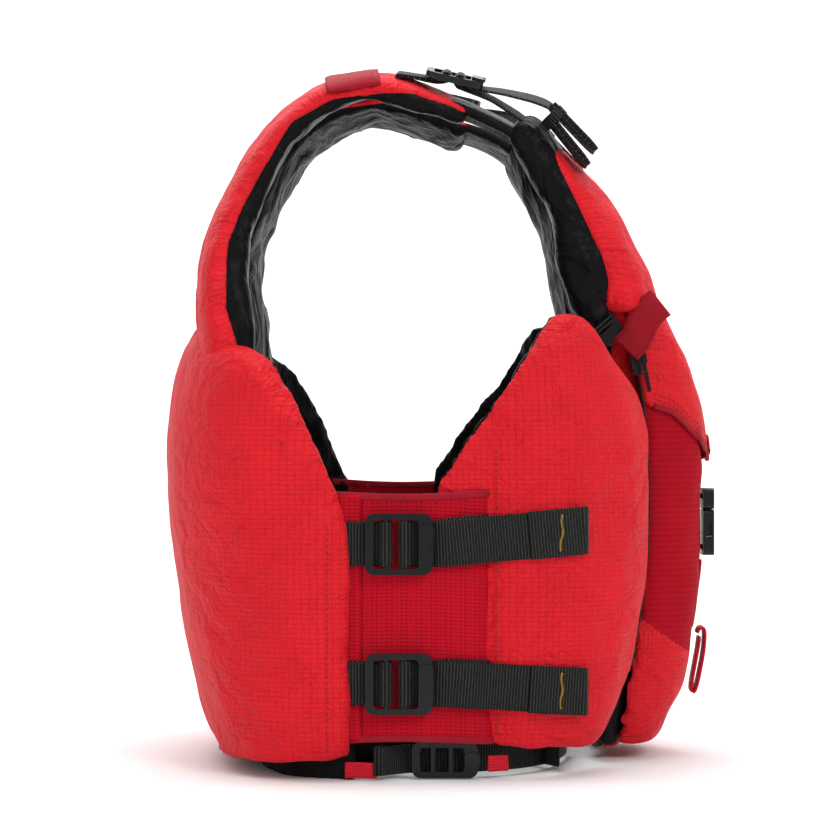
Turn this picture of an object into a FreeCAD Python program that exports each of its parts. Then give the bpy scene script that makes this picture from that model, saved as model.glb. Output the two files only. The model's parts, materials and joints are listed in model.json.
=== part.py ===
"""A whitewater life jacket for an adult, in millimetres.

The wearer faces -Y and stands along +Z, so the wearer's right is -X. The waist belt's underside is at z = 0.
A foam back panel wraps both sides. A foam chest panel hangs from two padded shoulder straps. A wing at each
side runs from the mesh side panel to the chest panel: the left wing is sewn there, the right wing zips open.
Every foam panel is three solids, as it is sewn: a red shell, a foam slab and a black liner.
"""
import FreeCAD, Part
import os
from math import asin, cos, pi, radians, sin, sqrt

V = FreeCAD.Vector

# ---- driving dimensions ----
WEB = 32.0                 # width of the side webbing
WEB_T = 1.8                # its thickness
SHOULDER_WEB = 25.0        # width of the shoulder webbing
SMALL_WEB = 20.0           # width of the pocket and waist webbing
SMALL_T = 1.5              # its thickness
SHELL_T = 1.6              # red shell fabric with its seams
LINER_T = 1.6              # black liner fabric
GAP = 0.3                  # clearance between layers
SIDE_X = 180.0             # half width of the torso form
FORM_MID_Y = 20.0          # middle of the torso form, front to back
BACK_BOXINESS = 0.25       # how square the torso section is behind, 0 for an ellipse
FRONT_BOXINESS = 0.12      # and in front

# torso form: height, inner face of the back, inner face of the front
FORM = [(0, 137, -112), (90, 152, -122), (200, 166, -126), (270, 163, -124), (340, 150, -118),
        (400, 134, -104)]

# back panel; its top and hem by share of the way from the middle to the side edge
BACK_T = 38.0              # thickness in the middle
BACK_EDGE_T = 14.0         # thickness at the side edges
BACK_EDGE_Y = 70.0
BACK_TOP = [(0, 317), (0.28, 316.5), (0.45, 306.5), (0.6, 300), (0.68, 296), (0.78, 282), (0.87, 255),
            (0.94, 225), (1, 200)]
BACK_HEM = [(0, 8), (0.6, 10), (1, 14)]
BACK_CORNER_LOSS = 0.4     # share of the swell lost at the top and the hem

# middle of the upper back: height, outer face, thickness, half width
YOKE = [(319, 184, 33, 65.5), (354, 180, 29, 59), (386, 171, 24, 54)]
YOKE_SIDE_SLANT = 0.5      # how much narrower the inner face is at each side, per thickness
YOKE_CURVE = 3.0           # how far its sides fall forward

# right straps, from the back: middle of the outer face (x, y, z), width, thickness, tilt to the arm (deg)
SHOULDER = [(-114, 176, 288, 86, 33, 8), (-108, 173, 322, 82, 30, 8), (-99, 171, 358, 76, 26, 8),
            (-93, 160, 394, 70, 21, 9), (-91, 140, 433, 64, 18, 11), (-90, 118, 463, 62, 15, 12),
            (-90, 93, 483, 60, 14, 12), (-89, 65, 493, 59, 13, 12), (-89, 39, 495, 58, 13, 12),
            (-89, 8, 486, 55, 12, 12), (-88, -22, 473, 50, 9, 12)]
FRONT_STRAP = [(-86, -64, 463, 42, 10, 13), (-84, -84, 443, 52, 18, 14), (-80, -115, 411, 60, 28, 16),
               (-76, -137, 375, 66, 38, 17), (-71, -155, 336, 70, 40, 18), (-69, -162, 310, 70, 40, 18)]
STRAP_EDGE_LOSS = 0.25     # share of a strap's thickness lost at its two edges
SEAM_INNER = (-30, 333)    # x, z of the seam between the right strap and the back panel, near the spine
SEAM_OUTER = (-190, 292)   # and at the arm
CHEST_SEAM_Z = 337.0       # seam between the front straps and the chest panel

# chest panel; its top and hem by share of the way from the middle to the edge, its half width by height
CHEST_T = 35.0
CHEST_EDGE = 70.0          # half width beside the zipper
CHEST_TOP = [(0, 321), (0.4, 325), (0.7, 330), (1, 331)]
CHEST_HEM = [(0, 8), (0.7, 9), (1, 16)]
CHEST_HALF = [(8, 62), (50, CHEST_EDGE), (305, CHEST_EDGE), (334, 74)]
CHEST_HEM_SHARE = 0.62     # thickness at the hem, as a share of CHEST_T
CHEST_TOP_SHARE = 0.92     # and at the top
CHEST_ZIP_STEP = 6.0       # how far its edge lies behind the zipper's arc

# wing; its top and hem by share of the way from the hinge, 0, to the zipper, 1
WING_T = 33.0
WING_EDGE = 88.0           # half width of the body where the wing's front edge lies
WING_REAR_Y = 1.5
WING_TOP = [(0, 206), (0.035, 213), (0.165, 241), (0.41, 290), (0.51, 313), (0.6, 323), (0.69, 318),
            (0.79, 303), (0.89, 287), (1, 278)]
WING_HEM = [(0, 28), (0.2, 27), (0.32, 21), (0.6, 20), (0.8, 20), (0.92, 30), (1, 45)]
WING_TUCK = 13.0           # how far its rear part tucks inside the mesh
WING_LIP = -4.6            # outer face of that rear part, from the form
WING_STEP = 12.0           # thickness just in front of the mesh seam
WING_EDGE_LOSS = 0.35      # share of its thickness lost at the top and the hem
WING_ZIP_STEP = 3.0        # how far its edge lies behind the zipper's arc
WING_SQUARE_FROM = 0.78    # share from which its front edge turns square to the zipper

# mesh side panels
MESH_SEAM_Y = -31.0        # seam between mesh and wing
MESH_REAR_Y = 88.0         # rear edge, under the back panel
MESH_HINGE = (4.5, 2.5)    # edges of the two pieces at the right wing's hinge
MESH_T = 1.8
MESH_IN = -2.0             # inner face of the mesh on the form
MESH_LOW, MESH_HIGH = 26.0, 198.0
FACING = (68.0, 56.0)      # the facing strip, rear to front
FACING_T = 1.6

# zipper: an arc in the plane x = ZIP_X
ZIP_X = -78.0
ZIP_R = 520.0
ZIP_FRONT_Y = -151.0       # the most forward point of the arc
ZIP_MID_Z = 190.0
ZIP_TOP_Z = 276.0
ZIP_BOTTOM_Z = 86.0
ZIP_END_Z = 70.0           # bottom of the box and the pin
CHEST_TAPE_TOP_Z = 298.0
ZIP_CENTRE = V(0, ZIP_FRONT_Y + ZIP_R, ZIP_MID_Z)
TOOTH_PITCH = 5.2
TOOTH_H = 2.2
TEETH = (0.7, 4.5)         # a tooth's reach from the middle of the zipper
TOOTH_DEPTH = (-1.8, 1.0)  # its front and back, from the arc
TAPE = (4.7, 7.4)          # chest tape, from the middle
WING_TAPE = (4.7, 9.2)     # wing tape, from the middle
TAPE_T = 0.8
SLIDER_Z = 289.0           # middle of the slider when the zipper is closed
SLIDER_HALF_W = 5.4
SLIDER_HALF_L = 9.0
SLIDER_PLATES = ((-4.2, -2.4), (1.6, 3.0))   # front and back plate, from the arc
SLIDER_CORNER_R = 2.5
PULL_BAR_R = 1.1           # crossbar of the zipper pull
PULL_BAR_AT = (-6.4, 3.0)  # its place in front of the arc and above the slider's middle
PULL_HALF_W = 3.8
PULL_ARM_W = 1.8
PULL_T = (-7.6, -5.2)      # front and back of the pull, from the arc

# pocket; the pouch's half width and face by height, the flap's edge by share of the half width
POCKET_LOW, POCKET_HIGH = 10.0, 290.0
POCKET_HALF = [(8, 54), (40, 64), (290, 66)]
POCKET_FACE = [(8, -156), (16, -163), (30, -170), (46, -178), (62, -183), (84, -186), (112, -190),
               (150, -193), (200, -195), (230, -194), (260, -189), (288, -180), (300, -174), (320, -164),
               (334, -160)]
POCKET_CROWN_HALF = 68.0   # half width at which the pouch meets the chest panel
POCKET_OFF_CHEST = 1.6
FLAP_EDGE = [(0, 220), (0.3, 228), (0.55, 242), (0.8, 260), (1, 270)]
FLAP_TOP_Z = 330.0
FLAP_HALF = 68.5
FLAP_T = 2.0
FLAP_OFF = 2.0             # how far the flap's inner face stands off the pouch
POCKET_MOUTH = V(0, -197.2, 181)             # where the pocket buckle's two halves meet
POCKET_TAIL_TOP = V(0, -197, 93)
POCKET_TAIL_L = 50.0
LOWER_STRAND = (96, 142)   # pocket webbing below the buckle, by height
UPPER_STRAND = (200, 236)  # and above it

# ladder locks, along the webbing from the rear end
LOCK_L = 46.0
LOCK_T = 5.0
LOCK_RIM = 5.0             # width of the frame beside the webbing
LOCK_REAR_RIM = 5.5
LOCK_FRONT_RIM = 9.5
BAR_A = 14.5               # bar that the fixed webbing loops round
BAR_B = 27.0               # bar that the tail turns over
BAR_R = 2.2
BAR_Z = 2.5                # middle of both bars above the underside
EYE_R = 4.6                # inner radius of the loop of webbing, loose on its bar

# side straps
LOCK_REAR_Y = 52.0         # rear end of each side lock
LOCK_WEB_X = -184.2        # plane of the underside of the side locks
UPPER_Z = 163.0            # middle of the upper side strap
LOWER_Z = 67.0             # middle of the lower side strap
TAIL_END_Y = -97.0         # end of the folded tail
TAIL_OFF = 3.8             # height of the tail above the form
TAIL_RISE = 9.0            # how much higher the upper tail ends
TAIL_DROP = 7.0            # how much lower the lower tail ends

# shoulder straps' webbing
SHOULDER_LOCK_AT = V(-89, 10, 496.5)
SHOULDER_LOCK_RUN = V(0, -43, -10)
SHOULDER_LOCK_UP = V(-0.2, 0, 1)
SHOULDER_LOCK_L = 42.0
SHOULDER_EYE_TAIL = 34.0   # webbing behind the shoulder lock's bar
LOWER_WEB = ((-88, -28, 479), (-88, -40, 474), (-87, -50, 471), (-86, -60, 468))
UPPER_WEB = ((-88, -40, 485), (-88, -52, 482), (-88, -64, 479), (-88, -74, 476))
WEB_TILT = 10.0            # degrees towards the arm
BUNDLE_TOP = V(-88, -79, 475)
BUNDLE_RUN = V(0, -0.6, -0.8)
BUNDLE_UP = V(0, -0.8, 0.6)
BUNDLE_L = 52.0
BUNDLE_T = 9.0
SLEEVE = (0.66, 0.78)      # the lash sleeve's stretch of the shoulder strap, by share
SLEEVE_OFF = 0.6
SLEEVE_T = 2.0

# buckle and tab above the zipper
CHEST_BUCKLE_AT = V(-80, -105, 327)
CHEST_BUCKLE_RUN = V(0, -0.66, -0.75)
CHEST_BUCKLE_L = 30.0
CHEST_BUCKLE_T = 4.0
CHEST_WEB = 16.0
CHEST_TAB_AT = V(-85.2, -137.5, 295)
CHEST_TAB_RUN = V(0, -27, 39)
CHEST_TAB_SIZE = (47.0, 20.0, 2.2)

# side-release buckles
SOCKET_L = 34.0
CLIP_L = 16.0
CLIP_REACH = 20.0
POCKET_BUCKLE_T = 8.2
WAIST_BUCKLE_T = 8.0

# waist
BELT_TOP_Z = 40.0
BELT_END_Y = 60.0
BELT_IN = (-14.5, -3.0)    # inner and outer face of the belt, from the form
WAIST_WEB = 20.0
WAIST_WEB_LOW = 3.0
WAIST_WEB_IN = (-19.0, -17.2)
WAIST_LOCK_AT = V(-166, 20, 13)
WAIST_LOCK_T = 4.0
WAIST_MOUTH = V(-2, -88, 15)
REAR_TAB = (66, 44, 1, 12)     # rear, front, low and high edge of the rear corner tab
FRONT_TAB = (-33, -47, 5, 16)
CORNER_TAB = (-1.5, 1.8)       # inner face from the form, and thickness

NODES = {}


def keep(name, *solids):
    """Stores the solids of one node."""
    NODES[name] = list(solids)
    return NODES[name]


def mirrored(solids):
    """The same solids for the wearer's left side."""
    return [s.mirror(V(0, 0, 0), V(1, 0, 0)) for s in solids]


def along(pairs, t):
    """A smooth value through hand-set (position, value) pairs, flat past both ends."""
    if t <= pairs[0][0]:
        return pairs[0][1]
    if t >= pairs[-1][0]:
        return pairs[-1][1]
    k = max(i for i in range(len(pairs) - 1) if pairs[i][0] <= t)
    slopes = []
    for i in (k, k + 1):
        a, b = max(i - 1, 0), min(i + 1, len(pairs) - 1)
        slopes.append((pairs[b][1] - pairs[a][1]) / (pairs[b][0] - pairs[a][0]))
    width = pairs[k + 1][0] - pairs[k][0]
    s = (t - pairs[k][0]) / width
    low, high = pairs[k][1], pairs[k + 1][1]
    return (low * (1 + 2 * s) * (1 - s) ** 2 + high * s * s * (3 - 2 * s)
            + width * slopes[0] * s * (1 - s) ** 2 - width * slopes[1] * s * s * (1 - s))


def ramp(t, start, end):
    """0 before start, 1 after end, smooth between."""
    s = min(1.0, max(0.0, (t - start) / (end - start)))
    return s * s * (3 - 2 * s)


# ---- the torso form ----

def form_at(angle, z, out=0.0):
    """A point on the torso form. The angle runs from the back, 0, over the wearer's left to the front, pi."""
    back = along([(f[0], f[1]) for f in FORM], z)
    front = along([(f[0], f[2]) for f in FORM], z)
    depth = back - FORM_MID_Y if cos(angle) >= 0 else FORM_MID_Y - front
    s, c = sin(angle), cos(angle)
    k = BACK_BOXINESS if c >= 0 else FRONT_BOXINESS
    x = SIDE_X * s * (1 + k * c * c)
    y = FORM_MID_Y + depth * c * (1 + k * s * s)
    dx = SIDE_X * c * (1 + k * c * c - 2 * k * s * s)
    dy = depth * s * (2 * k * c * c - 1 - k * s * s)
    size = sqrt(dx * dx + dy * dy)
    return V(x - out * dy / size, y + out * dx / size, z)


def angle_for(test, low, high):
    """The angle between low and high where test changes from below zero to above."""
    for _ in range(40):
        mid = (low + high) / 2
        if test(mid) < 0:
            low = mid
        else:
            high = mid
    return (low + high) / 2


def angle_at_y(y, z):
    """The angle on the wearer's left side where the form has this y."""
    return angle_for(lambda a: y - form_at(a, z).y, 0.0, pi)


def angle_at_x(x, z):
    """The angle on the front left quarter where the form has this x."""
    return angle_for(lambda a: x - form_at(a, z).x, pi / 2, pi)


def front_y(x, z):
    """The form's front face at x."""
    return form_at(angle_at_x(min(abs(x), SIDE_X - 0.01), z), z).y


def zip_y(z):
    """The zipper's arc."""
    return ZIP_FRONT_Y + ZIP_R - sqrt(ZIP_R ** 2 - (z - ZIP_MID_Z) ** 2)


# ---- solids ----

def layer(point, low, high, nu=9, nv=9):
    """A closed solid between two heights over a patch. point(u, v, d) is the place d above the patch."""
    surfaces = []
    for height in (low, high):
        grid = []
        for i in range(nu):
            u = i / (nu - 1)
            grid.append([point(u, j / (nv - 1), height(u, j / (nv - 1))) for j in range(nv)])
        surface = Part.BSplineSurface()
        surface.interpolate(grid)
        surfaces.append(surface)
    faces = [s.toShape() for s in surfaces]
    u0, u1, v0, v1 = surfaces[0].bounds()
    U0, U1, V0, V1 = surfaces[1].bounds()
    pairs = [(surfaces[0].uIso(u0), surfaces[1].uIso(U0)), (surfaces[0].uIso(u1), surfaces[1].uIso(U1)),
             (surfaces[0].vIso(v0), surfaces[1].vIso(V0)), (surfaces[0].vIso(v1), surfaces[1].vIso(V1))]
    faces += [Part.makeRuledSurface(a.toShape(), b.toShape()) for a, b in pairs]
    shell = Part.makeShell(faces)
    shell.sewShape()
    solid = Part.makeSolid(shell)
    if solid.Volume < 0:
        solid.reverse()
    return solid


def flat(value):
    """A height that is the same all over a patch."""
    return lambda u, v: value


def three_layers(name, side, point, low, high, nu=9, nv=9):
    """Liner, foam and shell of one padded panel, as separate nodes."""
    parts = {
        "liner": (low, lambda u, v: low(u, v) + LINER_T),
        "foam": (lambda u, v: low(u, v) + LINER_T + GAP, lambda u, v: high(u, v) - SHELL_T - GAP),
        "shell": (lambda u, v: high(u, v) - SHELL_T, high),
    }
    for part, (bottom, top) in parts.items():
        keep(f"{name}_{part}{side}", layer(point, bottom, top, nu, nv))


def box(x0, x1, y0, y1, z0, z1):
    """A box between two corners."""
    return Part.makeBox(x1 - x0, y1 - y0, z1 - z0, V(x0, y0, z0))


def rounded_plate(x0, x1, half_width, z0, z1, radius):
    """A plate centred across its width, with rounded corners."""
    plate = box(x0, x1, -half_width, half_width, z0, z1)
    upright = [e for e in plate.Edges if abs(e.tangentAt(e.FirstParameter).z) > 0.99]
    return plate.makeFillet(radius, upright)


def placed(shape, origin, along_axis, up_axis):
    """Moves a shape made along +X with +Z up to a place on the jacket."""
    x = V(along_axis).normalize()
    z = V(up_axis)
    z = (z - x * z.dot(x)).normalize()
    y = z.cross(x)
    m = FreeCAD.Matrix(x.x, y.x, z.x, origin.x, x.y, y.y, z.y, origin.y, x.z, y.z, z.z, origin.z, 0, 0, 0, 1)
    return shape.copy().transformed(m)


def turned(shape, centre, axis, degrees):
    """A copy of the shape, turned about an axis."""
    copy = shape.copy()
    copy.rotate(centre, axis, degrees)
    return copy


# ---- padded panels ----

def back_panel():
    """The lower back: wraps both sides up to the mesh, its top cut away for the arms."""
    def point(u, v, d):
        side = 2 * u - 1
        low, top = along(BACK_HEM, abs(side)), along(BACK_TOP, abs(side))
        z = low + v * (top - low)
        return form_at(side * angle_at_y(BACK_EDGE_Y, z), z, d)

    def high(u, v):
        across = 1 - abs(2 * u - 1) ** 4
        up = 1 - abs(2 * v - 1) ** 6
        swell = 1 - BACK_CORNER_LOSS * (1 - up)
        return BACK_EDGE_T + (BACK_T - BACK_EDGE_T) * across * swell

    three_layers("back", "", point, flat(0), high, 25, 11)


def yoke():
    """The middle of the upper back, between the two shoulder straps, up to the neck."""
    def at(z, k):
        return along([(row[0], row[k]) for row in YOKE], z)

    def point(u, v, d):
        z = YOKE[0][0] + v * (YOKE[-1][0] - YOKE[0][0])
        side = 2 * u - 1
        half = at(z, 3) - YOKE_SIDE_SLANT * (at(z, 2) - d)
        return V(side * half, at(z, 1) - at(z, 2) + d - YOKE_CURVE * side * side, z)

    def high(u, v):
        z = YOKE[0][0] + v * (YOKE[-1][0] - YOKE[0][0])
        return at(z, 2)

    three_layers("yoke", "", point, flat(0), high, 9, 7)


def strap_frame(stations, v):
    """Middle of the outer face, side direction, normal, width and thickness at v along a strap."""
    n = len(stations) - 1

    def at(k, t):
        return along([(i / n, s[k]) for i, s in enumerate(stations)], min(1, max(0, t)))

    run = V(0, at(1, v + 0.02) - at(1, v - 0.02), at(2, v + 0.02) - at(2, v - 0.02)).normalize()
    outward = V(0, run.z, -run.y)
    tilt = radians(at(5, v))
    side = V(-1, 0, 0) * cos(tilt) - outward * sin(tilt)
    normal = outward * cos(tilt) + V(-1, 0, 0) * sin(tilt)
    return V(at(0, v), at(1, v), at(2, v)), side, normal, at(3, v), at(4, v)


def strap_point(stations):
    """point(u, v, d) for a strap: u across towards the arm, v along, d above its inner face."""
    def point(u, v, d):
        place, side, normal, width, thick = strap_frame(stations, v)
        return place + side * ((u - 0.5) * width) - normal * (thick - d)
    return point


def padded_strap(name, stations, below):
    """Foam and shell of a strap on the wearer's right, cut off along the seam, and the left mirrored."""
    def high(u, v):
        return strap_frame(stations, v)[4] * (1 - STRAP_EDGE_LOSS * abs(2 * u - 1) ** 4)

    rows = 2 * len(stations) + 1
    foam = layer(strap_point(stations), flat(0), lambda u, v: high(u, v) - SHELL_T - GAP, 7, rows)
    shell = layer(strap_point(stations), lambda u, v: high(u, v) - SHELL_T, high, 7, rows)
    for part, solid in (("foam", foam), ("shell", shell)):
        trimmed = solid.cut(below).Solids
        keep(f"{name}_{part}_right", *trimmed)
        keep(f"{name}_{part}_left", *mirrored(trimmed))


def straps():
    """The two shoulder straps from the back, and the two front straps that the chest panel hangs from."""
    low = 180
    corners = [SEAM_INNER, SEAM_OUTER, (SEAM_OUTER[0], low), (SEAM_INNER[0], low), SEAM_INNER]
    outline = Part.makePolygon([V(x, 0, z) for x, z in corners])
    wedge = Part.Face(outline).extrude(V(0, 260, 0))
    padded_strap("shoulder", SHOULDER, wedge)
    padded_strap("front_strap", FRONT_STRAP, box(-160, 0, -260, 0, 200, CHEST_SEAM_Z))


def chest_out(x, z):
    """How far the chest panel's face stands out from the form."""
    at_hem = CHEST_HEM_SHARE + (1 - CHEST_HEM_SHARE) * ramp(z, -20, 80)
    at_top = CHEST_TOP_SHARE + (1 - CHEST_TOP_SHARE) * ramp(z, 340, 280)
    middle = CHEST_T * at_hem * at_top
    edge = front_y(CHEST_EDGE, z) - zip_y(min(max(z, 20), 300)) - CHEST_ZIP_STEP
    return middle + (edge - middle) * min(1, abs(x) / CHEST_EDGE) ** 4


def chest_face(x, z):
    """The chest panel's outer face."""
    return front_y(x, z) - chest_out(x, z)


def chest_panel():
    """The foam panel on the breastbone, between the zipper and the left wing's seam."""
    def point(u, v, d):
        side = 2 * u - 1
        low, top = along(CHEST_HEM, abs(side)), along(CHEST_TOP, abs(side))
        z = low + v * (top - low)
        x = side * along(CHEST_HALF, z)
        return V(x, front_y(x, z) - d, z)

    def high(u, v):
        p = point(u, v, 0)
        return chest_out(p.x, p.z)

    three_layers("chest", "", point, flat(0), high, 15, 19)


def wing_in(y):
    """The wing's inner face: it tucks inside the mesh behind the seam."""
    return -WING_TUCK * (1 - ramp(y, -25, -70))


def wing_out(y):
    """The wing's outer face over the form, by y on the form."""
    step = (WING_STEP - WING_LIP) * ramp(y, MESH_SEAM_Y, -56)
    return WING_LIP + step + (WING_T - WING_STEP) * ramp(y, -44, -92)


def wing_place(u, v, d):
    """A point of the wearer's right wing. Its front edge stands square to the zipper."""
    low, top = along(WING_HEM, u), along(WING_TOP, u)
    z = low + v * (top - low)
    rear, front = angle_at_y(WING_REAR_Y, z), angle_at_x(WING_EDGE, z)
    angle = rear + u * (front - rear)
    base = form_at(-angle, z)
    normal = form_at(-angle, z, 1) - base
    square = ramp(u, WING_SQUARE_FROM, 1)
    direction = normal * (1 - square) + V(0, -1, 0) * square
    return base + direction.normalize() * d


def wing():
    """Both wings; the left is the mirror of the right."""
    def low(u, v):
        return wing_in(wing_place(u, v, 0).y)

    def high(u, v):
        p = wing_place(u, v, 0)
        at_zip = front_y(WING_EDGE, p.z) - zip_y(min(max(p.z, 40), 300)) - WING_ZIP_STEP
        full = wing_out(p.y) + (at_zip - wing_out(p.y)) * ramp(u, 0.72, 1)
        return full - WING_EDGE_LOSS * (full - low(u, v)) * abs(2 * v - 1) ** 10

    three_layers("wing", "_right", wing_place, low, high, 27, 11)
    for part in ("liner", "foam", "shell"):
        keep(f"wing_{part}_left", *mirrored(NODES[f"wing_{part}_right"]))


def band(y_rear, y_front, low_z, high_z, inner, thick, columns=7):
    """A thin band on the wearer's right side of the form, between two places front to back."""
    def point(u, v, d):
        z = low_z + v * (high_z - low_z)
        rear, front = angle_at_y(y_rear, z), angle_at_y(y_front, z)
        return form_at(-(rear + u * (front - rear)), z, d)
    return layer(point, flat(inner), flat(inner + thick), columns, 5)


def side_mesh():
    """The mesh side panels, each with a facing strip. The right one is cut in two at the wing's hinge."""
    def mesh(y_rear, y_front):
        return band(y_rear, y_front, MESH_LOW, MESH_HIGH, MESH_IN, MESH_T)

    facing = band(*FACING, MESH_LOW, MESH_HIGH, MESH_IN + MESH_T + GAP, FACING_T)
    keep("side_mesh_right", mesh(MESH_REAR_Y, MESH_HINGE[0]), facing)
    keep("wing_mesh_right", mesh(MESH_HINGE[1], MESH_SEAM_Y))
    keep("side_mesh_left", *mirrored([mesh(MESH_REAR_Y, MESH_SEAM_Y), facing]))


# ---- zipper ----

def on_zip(shape, z):
    """Moves a shape made at the front of the arc to height z on it."""
    return turned(shape, ZIP_CENTRE, V(1, 0, 0), -180 / pi * asin((z - ZIP_MID_Z) / ZIP_R))


def zip_block(x0, x1, y0, y1, half_z, z):
    """A block on the zipper; x from the middle towards the wearer's left, y from the tape."""
    low, top = ZIP_MID_Z - half_z, ZIP_MID_Z + half_z
    solid = box(ZIP_X + x0, ZIP_X + x1, ZIP_FRONT_Y + y0, ZIP_FRONT_Y + y1, low, top)
    return on_zip(solid, z)


def zipper():
    """A separating zipper: two tapes, two rows of moulded teeth, and the box and pin below them."""
    def tape(x0, x1, low, top):
        def point(u, v, d):
            z = low + v * (top - low)
            return V(ZIP_X + x0 + u * (x1 - x0), zip_y(z) + 0.4 - d, z)
        return layer(point, flat(0), flat(TAPE_T), 3, 9)

    keep("zipper_tape_chest", tape(TAPE[0], TAPE[1], ZIP_END_Z, CHEST_TAPE_TOP_Z))
    keep("zipper_tape_wing", tape(-WING_TAPE[1], -WING_TAPE[0], ZIP_END_Z, ZIP_TOP_Z))
    count = int((ZIP_TOP_Z - ZIP_BOTTOM_Z) / TOOTH_PITCH)
    heights = [ZIP_BOTTOM_Z + 2 + i * TOOTH_PITCH for i in range(count)]
    near, far = TEETH
    chest_teeth = [zip_block(near, far, *TOOTH_DEPTH, TOOTH_H / 2, z) for z in heights]
    wing_teeth = [zip_block(-far, -near, *TOOTH_DEPTH, TOOTH_H / 2, z + TOOTH_PITCH / 2) for z in heights]
    middle = (ZIP_END_Z + ZIP_BOTTOM_Z) / 2
    half = (ZIP_BOTTOM_Z - ZIP_END_Z) / 2
    pin = zip_block(-far, -1.2, -1.5, 1, half - 0.5, middle)
    keep("zipper_teeth_chest", *chest_teeth)
    keep("zipper_teeth_wing", *wing_teeth, pin)
    keep("zipper_box", zip_block(0, far, -2.6, 2, half - 1, middle))


def slider_and_pull():
    """The slider, two plates joined by a neck that runs between the teeth, and its pull on a crossbar."""
    y, z = ZIP_FRONT_Y, ZIP_MID_Z

    def plate(front, back):
        solid = box(ZIP_X - SLIDER_HALF_W, ZIP_X + SLIDER_HALF_W, y + front, y + back,
                    z - SLIDER_HALF_L, z + SLIDER_HALF_L)
        corners = [e for e in solid.Edges if abs(e.tangentAt(e.FirstParameter).y) > 0.99]
        return solid.makeFillet(SLIDER_CORNER_R, corners)

    (front, neck_front), (neck_back, back) = SLIDER_PLATES
    low, top = z - SLIDER_HALF_L, z + SLIDER_HALF_L
    neck = box(ZIP_X - 0.45, ZIP_X + 0.45, y + neck_front, y + neck_back, low, top)
    bar_y, bar_z = y + PULL_BAR_AT[0], z + PULL_BAR_AT[1]
    bridge = box(ZIP_X - 1.6, ZIP_X + 1.6, y - 9, y + front, z - 1, z + 7)
    bridge = bridge.cut(Part.makeCylinder(PULL_BAR_R + 0.05, 20, V(ZIP_X - 10, bar_y, bar_z), V(1, 0, 0)))
    slider = plate(front, neck_front).fuse(plate(neck_back, back)).fuse(neck).fuse(bridge).removeSplitter()
    keep("zipper_slider", on_zip(slider, SLIDER_Z))

    w = PULL_HALF_W
    bar = Part.makeCylinder(PULL_BAR_R, 2 * w, V(ZIP_X - w, bar_y, bar_z), V(1, 0, 0))
    arms = []
    for start in (-w, w - PULL_ARM_W):
        x = ZIP_X + start
        arms.append(box(x, x + PULL_ARM_W, y + PULL_T[0], y + PULL_T[1], z - 6, z + 4.2))
    tab = box(ZIP_X - w, ZIP_X + w, y + PULL_T[0], y + PULL_T[1], z - 22, z - 5)
    pull = bar.fuse(arms).fuse(tab).removeSplitter()
    keep("zipper_pull", on_zip(pull, SLIDER_Z))


# ---- chest pocket ----

def pocket_face(x, z, extra):
    """The pouch's face, falling back to the chest panel at each side, and standing out by a little extra."""
    base = chest_face(x, z) - POCKET_OFF_CHEST
    crown = 1 - min(1, abs(x) / POCKET_CROWN_HALF) ** 3.2
    return base + (along(POCKET_FACE, z) - base) * crown - extra


def pocket():
    """The bellows pouch, and the flap over it."""
    def pouch_point(u, v, d):
        z = POCKET_LOW + v * (POCKET_HIGH - POCKET_LOW)
        x = (2 * u - 1) * along(POCKET_HALF, z)
        base = chest_face(x, z) - POCKET_OFF_CHEST
        return V(x, base + d * (pocket_face(x, z, 0.6) - base), z)

    keep("pocket_pouch", layer(pouch_point, flat(0), flat(1), 15, 19))

    def flap_point(u, v, d):
        side = 2 * u - 1
        low = along(FLAP_EDGE, abs(side))
        z = low + v * (FLAP_TOP_Z - low)
        x = side * (FLAP_HALF + 3 * ramp(z, POCKET_HIGH, FLAP_TOP_Z))
        return V(x, pocket_face(x, z, FLAP_OFF) - d, z)

    keep("pocket_flap", layer(flap_point, flat(0), flat(FLAP_T), 15, 11))


# ---- buckles ----

def ladder_lock(web, length, thick):
    """A ladder lock along +X: a rounded frame, two round bars and a lip with a finger notch."""
    half = web / 2 + LOCK_RIM
    frame = rounded_plate(0, length, half, 0, thick, 6)
    window = rounded_plate(LOCK_REAR_RIM, length - LOCK_FRONT_RIM, web / 2 + 0.8, -1, thick + 1, 2.5)
    frame = frame.cut(window)
    lip = rounded_plate(length - 9, length + 1, half - 7, thick - 0.2, thick + 2, 4)
    notch = Part.makeCylinder(web * 0.42, 8, V(length + web * 0.36, 0, thick + 0.6))
    frame = frame.fuse(lip).cut(notch).cut(box(-1, 6, -half - 1, half + 1, -1, 1.5))
    for x in (BAR_A, BAR_B * length / LOCK_L):
        frame = frame.fuse(Part.makeCylinder(BAR_R, 2 * half - 4, V(x, 2 - half, BAR_Z), V(0, 1, 0)))
    return frame.removeSplitter()


def webbing_eye(web, thick, strip_length):
    """Webbing round bar A, leaving along -X under the frame."""
    outer = EYE_R + thick
    ring = Part.makeCylinder(outer, web, V(BAR_A, -web / 2, BAR_Z), V(0, 1, 0))
    strip = box(BAR_A - strip_length, BAR_A, -web / 2, web / 2, BAR_Z - outer, BAR_Z - EYE_R)
    hole = Part.makeCylinder(EYE_R, web + 2, V(BAR_A, -web / 2 - 1, BAR_Z), V(0, 1, 0))
    return ring.fuse(strip).cut(hole).removeSplitter()


def buckle_socket(web, length, thick):
    """Socket of a side-release buckle along +X: open at x = 0 and at both sides, with a webbing slot."""
    half = web / 2 + 4
    body = rounded_plate(0, length, half, 0, thick, 3)
    body = body.cut(box(-1, length * 0.66, 3 - half, half - 3, 2, thick - 2))
    for s in (-1, 1):
        body = body.cut(box(length * 0.3, length * 0.62, s * half - 4, s * half + 4, 2, thick - 2))
    slot = box(length - 8, length - 4, -web / 2 - 0.5, web / 2 + 0.5, -1, thick + 1)
    return body.cut(slot).removeSplitter()


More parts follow.
